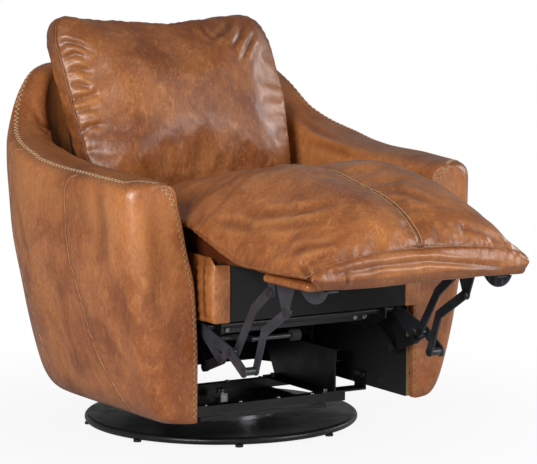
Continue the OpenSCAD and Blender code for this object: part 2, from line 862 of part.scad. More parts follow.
module seat_springs() {
    front = board_back_y;
    rear = seat_back - seat_rail_w / 2;
    count = spring_waves * spring_samples;
    shares = [for (i = [0 : count]) i / count];
    color([0.4, 0.41, 0.43])
        for (k = [0 : spring_count - 1])
            translate([(k - (spring_count - 1) / 2) * 2 * spring_span / spring_count, 0, seat_rail_top])
                linear_extrude(spring_t)
                    polygon(concat(
                        [for (s = shares) [spring_x(s) - spring_t / 2, front + s * (rear - front)]],
                        [for (i = [count : -1 : 0])
                            [spring_x(shares[i]) + spring_t / 2, front + shares[i] * (rear - front)]]));
}

module front_cross_rail() {
    cross_tube(cross_side / 2 - cross_front, cross_z, cross_side, seat_plate_x);
}

module rear_cross_rail() {
    cross_tube(slide_rear - 2 * cross_side, channel_z + channel_h + cross_side, cross_side,
        seat_plate_x);
}

module seat_pins() {
    color([0.5, 0.5, 0.52])
        for (side = [1, -1])
            on_side(side) {
                rivet(seat_plate_x, rear_arm_x + steel_t, arm_at);
                pin(seat_plate_out + clear, rear_arm_x - seat_plate_out - 2 * clear, arm_at, spacer_r);
                pin(seat_half - seat_rail_w, seat_plate_out + plane_gap + steel_t + 1.5 * plane_gap
                    - seat_half + seat_rail_w, hinge_at, rivet_r);
            }
}

module seat_cushion() {
    color([0.66, 0.4, 0.2])
        pad_solid(concat([for (r = pad_rows) if (r[0] > -fold_front + clear) r],
            [pad_row(clear / 2 - fold_front)]));
}

// Back

module back_frame() {
    color([0.72, 0.58, 0.4])
        on_back()
            translate([0, frame_out, 0])
                rotate([90, 0, 0])
                    linear_extrude(frame_t)
                        union() {
                            translate([-frame_half, frame_low])
                                square([2 * frame_half, frame_h - frame_low - frame_r]);
                            translate([frame_r - frame_half, frame_low])
                                square([2 * (frame_half - frame_r), frame_h - frame_low]);
                            for (side = [-1, 1])
                                translate([side * (frame_half - frame_r), frame_h - frame_r])
                                    circle(r = frame_r);
                        }
}

module hinge_arm(side) {
    x = seat_plate_out + plane_gap;
    color([0.16, 0.16, 0.18])
        on_side(side)
            on_back()
                difference() {
                    plate(x, steel_t)
                        union() {
                            circle(r = hinge_arm_r);
                            translate([frame_out, 0])
                                square([hinge_arm_w, hinge_arm_l]);
                        }
                    pin(x - over, steel_t + 2 * over, [0, 0], rivet_r + pin_clear);
                }
}

module back_cushion() {
    color([0.58, 0.34, 0.2])
        on_back()
            rotate([90, 0, 0])
                ring_solid([for (i = [len(pillow_rows_shares) - 1 : -1 : 0])
                    let (t = pillow_rows_shares[i],
                        bulge = pow(1 - pow(abs(t), 4), 0.5),
                        half = pillow_half * (1 - pillow_corner_share * pow(t, 4)),
                        reach = pillow_h / 2,
                        v = pillow_low + reach + reach * t)
                    [for (p = pad_ring(v, -pillow_mid + pillow_edge + pillow_crown * bulge,
                        -pillow_mid + pillow_edge, half,
                        -pillow_mid - pillow_edge - pillow_rear_crown * bulge,
                        half * rear_draw_share, half * rear_share, plain_rises,
                        -pillow_mid, -pillow_mid - pillow_edge / 2))
                        [p[0], v - (t > 0 ? 1 : -1) * pillow_dip_share * reach * pow(t, 2)
                            * (1 - pow(p[0] / pillow_half, 2)), p[2]]]]);
}

// Footrest

module footrest_board() {
    color([0.6, 0.35, 0.19])
        block([-footboard_half, -board_front, footboard_z],
            [footboard_half, -footboard_rear, footboard_top]);
}

// Outline of the bracket under the footrest board, with its half-moon front
module bracket_outline() {
    moon_r = (pow(moon_half, 2) + pow(moon_depth, 2)) / (2 * moon_depth);
    difference() {
        union() {
            bar([bracket_rear, [bracket_rear[0], footboard_z - bar_w / 2]], bar_w);
            polygon([[bracket_front[0] + 1.8 * bar_w, footboard_z],
                [bracket_front[0] + bar_w / 2, bracket_front[1]],
                [bracket_front[0] - bar_w / 2, bracket_front[1]],
                [bracket_front[0] - 1.8 * bar_w, footboard_z]]);
            hole(bracket_front, bar_w / 2);
            translate([-board_front, footboard_z - steel_t])
                square([board_front + bracket_rear[0] + bar_w / 2, steel_t]);
            intersection() {
                translate([-moon_front, footboard_z + moon_r - moon_depth])
                    circle(r = moon_r);
                translate([-moon_front - moon_half, footboard_z - moon_depth])
                    square([2 * moon_half, moon_depth]);
            }
        }
        hole(bracket_rear, rivet_r + pin_clear);
        hole(bracket_front, rivet_r + pin_clear);
    }
}

module bracket(side) {
    color([0.24, 0.25, 0.28])
        on_side(side)
            union() {
                plate(bracket_x, steel_t)
                    bracket_outline();
                block([bracket_x - flange_w, -board_front, footboard_z - steel_t],
                    [bracket_x, -footboard_rear, footboard_z]);
            }
}

module bracket_pins() {
    color([0.5, 0.5, 0.52])
        for (side = [1, -1])
            on_side(side) {
                rivet(bracket_x, front_link_x + steel_t, bracket_rear);
                rivet(lower_link_x, bracket_x + steel_t, bracket_front);
            }
}

module footrest_pad() {
    color([0.68, 0.41, 0.2])
        pad_solid(concat([pad_row(-fold_front - clear / 2)],
            [for (r = pad_rows) if (r[0] < -fold_front - clear) r]));
}

// Linkage

module torque_tube() {
    color([0.12, 0.12, 0.13])
        pin(-crank_x - steel_t, 2 * (crank_x + steel_t), tube_at, tube_r);
}

module crank(side) {
    color([0.2, 0.21, 0.24])
        on_side(side)
            plate(crank_x, steel_t)
                difference() {
                    union() {
                        bar([tube_at, crank_mid, crank_end], bar_w + steel_t);
                        bar([tube_at, crank_heel], bar_w);
                        bar([crank_mid, crank_heel], bar_w - steel_t);
                    }
                    hole(tube_at, tube_r);
                    hole(crank_mid, rivet_r);
                    hole(crank_end, rivet_r);
                    hole(crank_heel, rivet_r);
                }
}

// A pin fixed in the crank, with a spacer that reaches to the link at x
module crank_pin(x, p) {
    head = plane_gap - clear;
    pin(x - head, crank_x + steel_t - x + 2 * head, p, rivet_r);
    pin(x - head, head - clear / 2, p, spacer_r);
    pin(x + steel_t + clear / 2, crank_x - x - steel_t - clear / 2, p, spacer_r);
    pin(crank_x + steel_t, head, p, spacer_r);
}

module crank_pins() {
    color([0.55, 0.55, 0.57])
        for (side = [1, -1])
            on_side(side) {
                crank_pin(front_link_x, crank_mid);
                crank_pin(lower_link_x, crank_end);
                crank_pin(drive_link_x, crank_heel);
            }
}

module stop_rod() {
    arm_x = seat_half - 3 * steel_t;
    color([0.3, 0.3, 0.32])
        on_side(-1)
            union() {
                pin(arm_x + steel_t, crank_x - arm_x - steel_t, root_at, rivet_r);
                plate(arm_x, 2 * steel_t)
                    bar([root_at, rod_at], 2 * rivet_r + plane_gap);
                pin(rod_inner, arm_x + steel_t - rod_inner, rod_at, rivet_r);
            }
}

module rubber_stop() {
    color([0.04, 0.04, 0.04])
        on_side(-1)
            pin(rod_inner - stop_l, stop_l, rod_at, stop_r);
}

module rear_arms() {
    color([0.1, 0.1, 0.11])
        for (side = [1, -1])
            on_side(side)
                plate(rear_arm_x, steel_t)
                    difference() {
                        bar([arm_at, arm_end], bar_w);
                        hole(arm_at, rivet_r + pin_clear);
                        hole(arm_end, rivet_r);
                    }
}

module rear_arm_pins() {
    color([0.5, 0.5, 0.52])
        for (side = [1, -1])
            on_side(side)
                union() {
                    pin(rear_arm_x - plane_gap / 2, drive_link_x + steel_t + plane_gap / 2
                        - rear_arm_x + plane_gap / 2, arm_end, rivet_r);
                    pin(rear_arm_x - plane_gap / 2, plane_gap / 2, arm_end, spacer_r);
                }
}

module front_links() {
    color([0.24, 0.25, 0.28])
        for (side = [1, -1])
            on_side(side)
                plate(front_link_x, steel_t)
                    difference() {
                        bar([crank_mid, front_knee, bracket_rear], bar_w);
                        hole(crank_mid, rivet_r + pin_clear);
                        hole(bracket_rear, rivet_r + pin_clear);
                    }
}

module lower_links() {
    color([0.26, 0.27, 0.3])
        for (side = [1, -1])
            on_side(side)
                plate(lower_link_x, steel_t)
                    difference() {
                        bar([crank_end, lower_knee, bracket_front], bar_w);
                        hole(crank_end, rivet_r + pin_clear);
                        hole(bracket_front, rivet_r + pin_clear);
                    }
}

module drive_links() {
    color([0.1, 0.1, 0.11])
        for (side = [1, -1])
            on_side(side)
                plate(drive_link_x, steel_t)
                    difference() {
                        bar([crank_heel, arm_end], bar_w);
                        hole(crank_heel, rivet_r + pin_clear);
                        hole(arm_end, rivet_r + pin_clear);
                    }
}

base_disc();
base_feet();
lower_race();
bearing_balls();
swivel_bolt();
swivel_nut();
upper_race();
swivel_plate();
front_base_rail();
rear_base_rail();
side_plate(1);  // left_side_plate
side_plate(-1);  // right_side_plate
rail_brackets();
frame_bolts();
channel(1);  // left_channel
channel(-1);  // right_channel
arm(1);  // left_arm
arm(-1);  // right_arm
outer_back();
arm_board(1);  // left_arm_board
arm_board(-1);  // right_arm_board
rear_board();
lining(1);  // left_lining
lining(-1);  // right_lining
slide_bar(1);  // left_slide_bar
slide_bar(-1);  // right_slide_bar
seat_plate(1);  // left_seat_plate
seat_plate(-1);  // right_seat_plate
seat_rail(1);  // left_seat_rail
seat_rail(-1);  // right_seat_rail
rear_seat_rail();
front_board();
front_panel();
wrap(1);  // left_wrap
wrap(-1);  // right_wrap
seat_springs();
front_cross_rail();
rear_cross_rail();
seat_pins();
seat_cushion();
back_frame();
hinge_arm(1);  // left_hinge_arm
hinge_arm(-1);  // right_hinge_arm
back_cushion();
footrest_board();
bracket(1);  // left_bracket
bracket(-1);  // right_bracket
bracket_pins();
footrest_pad();
torque_tube();
crank(1);  // left_crank
crank(-1);  // right_crank
crank_pins();
stop_rod();
rubber_stop();
rear_arms();
rear_arm_pins();
front_links();
lower_links();
drive_links();
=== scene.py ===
"""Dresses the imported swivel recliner: leather tub, cushions, stitching and steel finishes.

Every size is in metres in the frame of the solids: the chair faces -Y, +X is the sitter's
left and the floor is z = 0. The camera stands where the photograph was taken from.
"""
import json
import logging
import math
from dataclasses import dataclass, field
from enum import Enum

import bmesh
import bpy
import numpy as np
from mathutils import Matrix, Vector, noise
from mathutils.bvhtree import BVHTree
from mathutils.kdtree import KDTree


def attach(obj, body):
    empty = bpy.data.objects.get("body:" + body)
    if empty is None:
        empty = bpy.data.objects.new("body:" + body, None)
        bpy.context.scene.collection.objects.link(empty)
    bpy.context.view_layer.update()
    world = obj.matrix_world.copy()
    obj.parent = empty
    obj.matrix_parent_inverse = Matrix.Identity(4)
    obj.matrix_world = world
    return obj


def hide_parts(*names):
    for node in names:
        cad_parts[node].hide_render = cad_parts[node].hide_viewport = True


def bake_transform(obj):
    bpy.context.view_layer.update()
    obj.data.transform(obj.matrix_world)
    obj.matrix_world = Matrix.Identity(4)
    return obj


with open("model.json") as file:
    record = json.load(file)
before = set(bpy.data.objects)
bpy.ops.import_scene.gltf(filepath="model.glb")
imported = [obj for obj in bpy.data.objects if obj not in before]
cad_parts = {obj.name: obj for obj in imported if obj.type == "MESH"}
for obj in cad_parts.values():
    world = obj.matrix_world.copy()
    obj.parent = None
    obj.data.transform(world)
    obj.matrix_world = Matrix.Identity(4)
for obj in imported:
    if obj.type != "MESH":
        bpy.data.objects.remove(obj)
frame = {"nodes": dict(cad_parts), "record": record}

logging.basicConfig(level=logging.INFO, format="%(message)s")
log = logging.getLogger("recliner")

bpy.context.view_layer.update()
Colour = tuple[float, float, float]
Point = tuple[float, float, float]
Pixel = tuple[float, float]


class Side(Enum):
    """A side of the chair, as the sitter has it, with the sign of its X."""

    LEFT = 1
    RIGHT = -1


# Camera and the way from a pixel to the surface


@dataclass(frozen=True)
class Viewpoint:
    """The camera of the photograph, fitted to mirrored points of the chair.

    Attributes:
        place: Where the camera stands.
        turn: Its turn from +Y to the left, in degrees.
        pitch: Its tilt upward, in degrees.
        focal: Focal length, in pixels.
        wide: Width of the frame, in pixels.
        high: Height of the frame, in pixels.
    """

    place: Point = (-3.2849, -5.6896, 1.3124)
    turn: float = -30.953
    pitch: float = -7.592
    focal: float = 2900.3
    wide: int = 537
    high: int = 464

    def make(self) -> None:
        """Creates the camera and makes it the scene's own."""
        data = bpy.data.cameras.new("camera")
        data.sensor_width = 36.0
        data.lens = self.focal * data.sensor_width / self.wide
        data.clip_start = 0.1
        data.clip_end = 60.0
        camera = bpy.data.objects.new("camera", data)
        camera.location = self.place
        camera.rotation_euler = (math.radians(90 + self.pitch), 0, math.radians(self.turn))
        bpy.context.scene.collection.objects.link(camera)
        bpy.context.scene.camera = camera

    def ray(self, pixel: Pixel) -> Vector:
        """The direction in which a pixel of the 537 x 464 frame looks.

        Args:
            pixel: Place in the frame, from the top left corner.

        Returns:
            A unit vector in the chair's frame.
        """
        turn, pitch = math.radians(self.turn), math.radians(self.pitch)
        level = math.cos(pitch)
        ahead = Vector((-math.sin(turn) * level, math.cos(turn) * level, math.sin(pitch)))
        right = Vector((math.cos(turn), math.sin(turn), 0))
        up = right.cross(ahead)
        across = (pixel[0] - self.wide / 2) / self.focal
        rise = (self.high / 2 - pixel[1]) / self.focal
        return (ahead + right * across + up * rise).normalized()


VIEW = Viewpoint()
VIEW.make()


# Node helpers and shared shader groups


class Tree:
    """A small hand for wiring one node tree."""

    def __init__(self, tree: bpy.types.NodeTree) -> None:
        """Keeps the tree that the nodes go into."""
        self.tree = tree

    def node(self, kind: str, **values: object) -> bpy.types.Node:
        """Adds a node and sets its properties.

        Args:
            kind: Blender's name of the node type, without its prefix.
            values: Properties of the node.

        Returns:
            The new node.
        """
        made = self.tree.nodes.new("ShaderNode" + kind)
        for key, value in values.items():
            setattr(made, key, value)
        return made

    def put(self, socket: bpy.types.NodeSocket, source: object) -> None:
        """Feeds a socket from another socket or with a plain value.

        Args:
            socket: The socket to feed.
            source: Another socket, a number or a colour.
        """
        if isinstance(source, bpy.types.NodeSocket):
            self.tree.links.new(source, socket)
        elif isinstance(source, tuple) and len(source) == 3 and socket.type == "RGBA":
            socket.default_value = (*source, 1.0)
        else:
            socket.default_value = source

    def math(self, operation: str, *inputs: object) -> bpy.types.NodeSocket:
        """Adds a math node.

        Args:
            operation: Blender's name for it.
            inputs: Sockets or numbers.

        Returns:
            The result's socket.
        """
        made = self.node("Math", operation=operation)
        for socket, source in zip(made.inputs, inputs):
            self.put(socket, source)
        return made.outputs[0]

    def times(self, a: object, b: object) -> bpy.types.NodeSocket:
        """The product of two values."""
        return self.math("MULTIPLY", a, b)

    def plus(self, a: object, b: object) -> bpy.types.NodeSocket:
        """The sum of two values."""
        return self.math("ADD", a, b)

    def minus(self, a: object, b: object) -> bpy.types.NodeSocket:
        """The difference of two values."""
        return self.math("SUBTRACT", a, b)

    def place(self) -> bpy.types.NodeSocket:
        """The place of the shaded point on its own piece."""
        return self.node("TexCoord").outputs["Object"]

    def mask(self, name: str) -> bpy.types.NodeSocket:
        """A value that the mesh carries on its vertices."""
        return self.node("Attribute", attribute_name=name).outputs["Fac"]

    def seen(self) -> bpy.types.NodeSocket:
        """1 where the camera looks straight or through glass, and otherwise 0."""
        path = self.node("LightPath")
        return self.math("MAXIMUM", path.outputs["Is Camera Ray"], path.outputs["Is Transmission Ray"])

    def mix(self, share: object, low: object, high: object) -> bpy.types.NodeSocket:
        """Mixes two colours by a share.

        Args:
            share: How much of the second colour.
            low: The first colour.
            high: The second colour.

        Returns:
            The result's socket.
        """
        made = self.node("Mix", data_type="RGBA")
        self.put(made.inputs["Factor"], share)
        self.put(made.inputs[6], low)
        self.put(made.inputs[7], high)
        return made.outputs[2]

    def noise(self, where: object, scale: object, detail: float = 3.0, rough: float = 0.5,
              twist: float = 0.0) -> bpy.types.NodeSocket:
        """Adds noise at a place and returns its value.

        Args:
            where: The place.
            scale: How fine the noise is.
            detail: How many finer layers it has.
            rough: How strong those are.
            twist: How far it is bent by itself.

        Returns:
            A value from 0 to 1.
        """
        made = self.node("TexNoise")
        self.put(made.inputs["Vector"], where)
        self.put(made.inputs["Scale"], scale)
        made.inputs["Detail"].default_value = detail
        made.inputs["Roughness"].default_value = rough
        made.inputs["Distortion"].default_value = twist
        return made.outputs[0]

    def span(self, value: object, low: float, high: float, to_low: float = 0.0,
             to_high: float = 1.0) -> bpy.types.NodeSocket:
        """Maps a value smoothly from one range to another, held at the ends.

        Args:
            value: The value.
            low: Where the first range starts.
            high: Where it ends.
            to_low: Where the second range starts.
            to_high: Where it ends.

        Returns:
            The result's socket.
        """
        made = self.node("MapRange", interpolation_type="SMOOTHSTEP")
        self.put(made.inputs["Value"], value)
        for name, number in (("From Min", low), ("From Max", high), ("To Min", to_low), ("To Max", to_high)):
            made.inputs[name].default_value = number
        return made.outputs["Result"]


def new_group(name: str, inputs: dict[str, object], outputs: dict[str, str]) -> tuple[Tree, object, object]:
    """Starts a shader node group with named sockets.

    Args:
        name: The group's name.
        inputs: Default value of each input. A tuple makes a colour socket.
        outputs: Socket type of each output.

    Returns:
        The tree, the group's input node and its output node.
    """
    group = bpy.data.node_groups.new(name, "ShaderNodeTree")
    for key, value in inputs.items():
        colour = isinstance(value, tuple)
        socket = group.interface.new_socket(key, in_out="INPUT",
                                            socket_type="NodeSocketColor" if colour else "NodeSocketFloat")
        socket.default_value = (*value, 1.0) if colour else value
    for key, kind in outputs.items():
        group.interface.new_socket(key, in_out="OUTPUT", socket_type=kind)
    return Tree(group), group.nodes.new("NodeGroupInput"), group.nodes.new("NodeGroupOutput")


def build_mottle_group() -> bpy.types.NodeTree:
    """Pull-up leather: burnished patches, paler stretched places and fine flecks, with painted shade and painted
    highlights laid on from two vertex masks.

    Returns:
        The node group, with a colour and a roughness.
    """
    tree, start, end = new_group(
        "Leather mottle",
        {"Base": (0.3, 0.12, 0.04), "Burnish": (0.1, 0.04, 0.015), "Pull": (0.5, 0.25, 0.1),
         "Patch scale": 5.0, "Burnish amount": 0.6, "Pull amount": 0.4, "Gloss": 0.4},
        {"Color": "NodeSocketColor", "Roughness": "NodeSocketFloat"})
    where, scale = tree.place(), start.outputs["Patch scale"]
    base, burnish, pull = (start.outputs[key] for key in ("Base", "Burnish", "Pull"))
    broad = tree.span(tree.noise(where, scale, 5.0, 0.62, 0.4), 0.36, 0.66)
    streak = tree.node("VectorMath", operation="MULTIPLY")
    tree.put(streak.inputs[0], where)
    streak.inputs[1].default_value = (1.0, 1.0, 0.5)
    drawn = streak.outputs[0]
    middle = tree.span(tree.noise(drawn, tree.times(scale, 4.1), 6.0, 0.72, 0.8), 0.38, 0.68)
    flecks = tree.span(tree.noise(drawn, tree.times(scale, 40.0), 4.0, 0.75), 0.42, 0.68)
    rubs = tree.span(tree.noise(drawn, tree.times(scale, 10.0), 6.0, 0.8, 1.2), 0.48, 0.7)
    dark = tree.times(start.outputs["Burnish amount"], tree.plus(tree.times(broad, 0.5), tree.times(middle, 0.5)))
    colour = tree.mix(dark, base, burnish)
    pale = tree.times(start.outputs["Pull amount"],
                      tree.plus(tree.times(tree.minus(1.0, broad), 0.45), tree.times(rubs, 0.55)))
    colour = tree.mix(pale, colour, pull)
    colour = tree.mix(tree.times(flecks, 0.4), colour, burnish)
    # Painted highlight: a vertex mask lightens the colour toward Pull on the rolled lips of creases and on the
    # tub's shoulder.
    colour = tree.mix(tree.times(tree.mask("painted_highlight"), 0.7), colour, pull)
    # Painted shade: a vertex mask darkens the colour toward Burnish in seam grooves, crease valleys, on the tub's
    # hem and top, the back cushion's top and the pad's underside, front border and rear.
    colour = tree.mix(tree.times(tree.mask("painted_shade"), 0.96), colour, burnish)
    tree.put(end.inputs["Color"], colour)
    rough = tree.plus(start.outputs["Gloss"], tree.times(tree.minus(middle, 0.5), 0.16))
    tree.put(end.inputs["Roughness"], rough)
    return tree.tree


def build_grain_group() -> bpy.types.NodeTree:
    """Leather grain: fine pebble, hair creases and a slow waviness, as a height.

    Returns:
        The node group, with a height.
    """
    tree, start, end = new_group(
        "Leather grain", {"Pebble scale": 620.0, "Crease scale": 60.0, "Crease amount": 0.6},
        {"Height": "NodeSocketFloat"})
    where = tree.place()
    pebble = tree.node("TexVoronoi", feature="SMOOTH_F1")
    tree.put(pebble.inputs["Vector"], where)
    tree.put(pebble.inputs["Scale"], start.outputs["Pebble scale"])
    lines = tree.node("TexVoronoi", feature="DISTANCE_TO_EDGE")
    bent = tree.node("VectorMath", operation="ADD")
    wobble = tree.node("TexNoise")
    tree.put(wobble.inputs["Vector"], where)
    wobble.inputs["Scale"].default_value = 22.0
    soften = tree.node("VectorMath", operation="SCALE")
    tree.put(soften.inputs[0], wobble.outputs["Color"])
    soften.inputs["Scale"].default_value = 0.03
    tree.put(bent.inputs[0], where)
    tree.put(bent.inputs[1], soften.outputs[0])
    tree.put(lines.inputs["Vector"], bent.outputs[0])
    tree.put(lines.inputs["Scale"], start.outputs["Crease scale"])
    crease = tree.span(lines.outputs["Distance"], 0.0, 0.09)
    slow = tree.noise(where, 26.0, 3.0, 0.6)
    height = tree.plus(tree.times(pebble.outputs["Distance"], -0.25),
                       tree.times(crease, tree.times(start.outputs["Crease amount"], 0.5)))
    tree.put(end.inputs["Height"], tree.plus(height, tree.times(slow, 0.9)))
    return tree.tree


def build_coat_group() -> bpy.types.NodeTree:
    """Painted or plated steel: orange peel, dust and rubbed places.

    Returns:
        The node group, with a colour, a roughness and a height.
    """
    tree, start, end = new_group(
        "Coated steel",
        {"Paint": (0.02, 0.02, 0.02), "Rub": (0.2, 0.2, 0.22), "Peel scale": 900.0, "Dust": 0.2, "Gloss": 0.4},
        {"Color": "NodeSocketColor", "Roughness": "NodeSocketFloat", "Height": "NodeSocketFloat"})
    where = tree.place()
    paint, rub = start.outputs["Paint"], start.outputs["Rub"]
    peel = tree.noise(where, start.outputs["Peel scale"], 2.0, 0.5)
    cloud = tree.span(tree.noise(where, 18.0, 4.0, 0.65), 0.4, 0.75)
    scuff = tree.span(tree.noise(where, 140.0, 5.0, 0.8), 0.62, 0.72)
    colour = tree.mix(tree.times(cloud, start.outputs["Dust"]), paint, rub)
    colour = tree.mix(tree.times(scuff, 0.35), colour, rub)
    tree.put(end.inputs["Color"], colour)
    tree.put(end.inputs["Roughness"], tree.plus(start.outputs["Gloss"], tree.times(cloud, 0.15)))
    tree.put(end.inputs["Height"], peel)
    return tree.tree


def build_weave_group() -> bpy.types.NodeTree:
    """A plain weave or felted cloth.

    Returns:
        The node group, with a colour and a height.
    """
    tree, start, end = new_group(
        "Cloth weave", {"Yarn": (0.02, 0.02, 0.02), "Fleck": (0.06, 0.06, 0.06), "Thread scale": 900.0},
        {"Color": "NodeSocketColor", "Height": "NodeSocketFloat"})
    where = tree.place()
    fuzz = tree.noise(where, start.outputs["Thread scale"], 3.0, 0.7)
    cloud = tree.noise(where, 30.0, 4.0, 0.6)
    colour = tree.mix(tree.span(fuzz, 0.45, 0.8), start.outputs["Yarn"], start.outputs["Fleck"])
    tree.put(end.inputs["Color"], tree.mix(tree.times(cloud, 0.3), colour, start.outputs["Yarn"]))
    tree.put(end.inputs["Height"], fuzz)
    return tree.tree


def build_wood_group() -> bpy.types.NodeTree:
    """Timber with long grain along X or Y.

    Returns:
        The node group, with a colour and a height.
    """
    tree, start, end = new_group(
        "Timber grain", {"Pale": (0.5, 0.36, 0.2), "Dark": (0.3, 0.18, 0.08), "Ring scale": 60.0},
        {"Color": "NodeSocketColor", "Height": "NodeSocketFloat"})
    where = tree.place()
    wave = tree.node("TexWave", wave_type="BANDS", bands_direction="Z")
    tree.put(wave.inputs["Vector"], where)
    tree.put(wave.inputs["Scale"], start.outputs["Ring scale"])
    wave.inputs["Distortion"].default_value = 5.0
    wave.inputs["Detail"].default_value = 3.0
    tree.put(end.inputs["Color"], tree.mix(wave.outputs["Fac"], start.outputs["Pale"], start.outputs["Dark"]))
    tree.put(end.inputs["Height"], wave.outputs["Fac"])
    return tree.tree


GROUPS: dict[str, bpy.types.NodeTree] = {
    "mottle": build_mottle_group(),
    "grain": build_grain_group(),
    "coat": build_coat_group(),
    "weave": build_weave_group(),
    "wood": build_wood_group(),
}


def start_material(name: str) -> tuple[bpy.types.Material, Tree, bpy.types.Node]:
    """Starts a material with one Principled shader.

    Args:
        name: The material's name.

    Returns:
        The material, its tree and its shader.
    """
    material = bpy.data.materials.new(name)
    material.use_nodes = True
    tree = Tree(material.node_tree)
    return material, tree, material.node_tree.nodes["Principled BSDF"]


def place_group(tree: Tree, key: str, **values: object) -> bpy.types.Node:
    """Puts a shared group into a material with its own values.

    Args:
        tree: The material's tree.
        key: The group's key in GROUPS.
        values: Input values, with underscores for spaces.

    Returns:
        The group node.
    """
    made = tree.node("Group")
    made.node_tree = GROUPS[key]
    for name, value in values.items():
        tree.put(made.inputs[name.replace("_", " ").capitalize()], value)
    return made


def bump(tree: Tree, shader: bpy.types.Node, height: bpy.types.NodeSocket, strength: float, depth: float) -> None:
    """Feeds a height into the shader's normal.

    Args:
        tree: The material's nodes.
        shader: The material's shader.
        height: The height, from 0 to 1.
        strength: How strongly it shows.
        depth: Height of a full step, in metres.
    """
    made = tree.node("Bump")
    made.inputs["Strength"].default_value = strength
    made.inputs["Distance"].default_value = depth
    tree.put(made.inputs["Height"], height)
    tree.put(shader.inputs["Normal"], made.outputs["Normal"])


@dataclass(frozen=True)
class LeatherFinish:
    """Cognac pull-up leather with its own depth of burnish.

    Attributes:
        name: The material's name.
        base: Colour of the plain leather.
        burnish: Colour of its dark patches, and the colour that the painted shade in seams, creases and shaded
            places darkens toward.
        pull: Colour of its stretched and rubbed places, and of the painted highlights.
        patch: How fine the patches are.
        burnish_amount: How strong the dark patches are.
        pull_amount: How strong the pale ones are.
        gloss: Roughness of its face.
        crease: How strong the hair creases are.
        depth: Depth of the grain.
        shine: How much light its face sends back.
    """

    name: str
    base: Colour = (0.37, 0.106, 0.026)
    burnish: Colour = (0.085, 0.02, 0.006)
    pull: Colour = (0.6, 0.25, 0.08)
    patch: float = 5.0
    burnish_amount: float = 0.6
    pull_amount: float = 0.8
    gloss: float = 0.38
    crease: float = 0.5
    depth: float = 0.0005
    shine: float = 0.5

    def make(self) -> bpy.types.Material:
        """Builds the material.

        Returns:
            The material.
        """
        material, tree, shader = start_material(self.name)
        mottle = place_group(tree, "mottle", Base=self.base, Burnish=self.burnish, Pull=self.pull,
                             Patch_scale=self.patch, Burnish_amount=self.burnish_amount,
                             Pull_amount=self.pull_amount, Gloss=self.gloss)
        grain = place_group(tree, "grain", Crease_amount=self.crease)
        tree.put(shader.inputs["Base Color"], mottle.outputs["Color"])
        tree.put(shader.inputs["Roughness"], mottle.outputs["Roughness"])
        shader.inputs["Specular IOR Level"].default_value = self.shine
        bump(tree, shader, grain.outputs["Height"], 0.5, self.depth)
        return material


@dataclass(frozen=True)
class SteelFinish:
    """Painted or plated steel.

    Attributes:
        name: The material's name.
        paint: Colour of the coat.
        rub: Colour of its dusty and rubbed places.
        gloss: Roughness of the coat.
        metal: 1 for bare or plated metal and 0 for paint.
        dust: How much dust lies on it.
    """

    name: str
    paint: Colour
    rub: Colour
    gloss: float = 0.4
    metal: float = 0.0
    dust: float = 0.25

    def make(self) -> bpy.types.Material:
        """Builds the material.

        Returns:
            The material.
        """
        material, tree, shader = start_material(self.name)
        coat = place_group(tree, "coat", Paint=self.paint, Rub=self.rub, Gloss=self.gloss, Dust=self.dust)
        tree.put(shader.inputs["Base Color"], coat.outputs["Color"])
        tree.put(shader.inputs["Roughness"], coat.outputs["Roughness"])
        shader.inputs["Metallic"].default_value = self.metal
        bump(tree, shader, coat.outputs["Height"], 0.25, 0.0003)
        return material


@dataclass(frozen=True)
class ClothFinish:
    """Cloth, thread or rubber with a felted face.

    Attributes:
        name: The material's name.
        yarn: Colour of the yarn.
        fleck: Colour of its paler flecks.
        threads: How fine the threads are.
        rough: Roughness.
    """

    name: str
    yarn: Colour
    fleck: Colour
    threads: float = 900.0
    rough: float = 0.9

    def make(self) -> bpy.types.Material:
        """Builds the material.

        Returns:
            The material.
        """
        material, tree, shader = start_material(self.name)
        weave = place_group(tree, "weave", Yarn=self.yarn, Fleck=self.fleck, Thread_scale=self.threads)
        tree.put(shader.inputs["Base Color"], weave.outputs["Color"])
        shader.inputs["Roughness"].default_value = self.rough
        bump(tree, shader, weave.outputs["Height"], 0.4, 0.0004)
        return material


@dataclass(frozen=True)
class TimberFinish:
    """The timber of the seat frame and the boards.

    Attributes:
        name: The material's name.
        pale: Colour of the pale wood.
        dark: Colour of the dark grain.
    """

    name: str
    pale: Colour = (0.46, 0.33, 0.19)
    dark: Colour = (0.3, 0.19, 0.09)

    def make(self) -> bpy.types.Material:
        """Builds the material.

        Returns:
            The material.
        """
        material, tree, shader = start_material(self.name)
        wood = place_group(tree, "wood", Pale=self.pale, Dark=self.dark)
        tree.put(shader.inputs["Base Color"], wood.outputs["Color"])
        shader.inputs["Roughness"].default_value = 0.7
        bump(tree, shader, wood.outputs["Height"], 0.3, 0.0004)
        return material


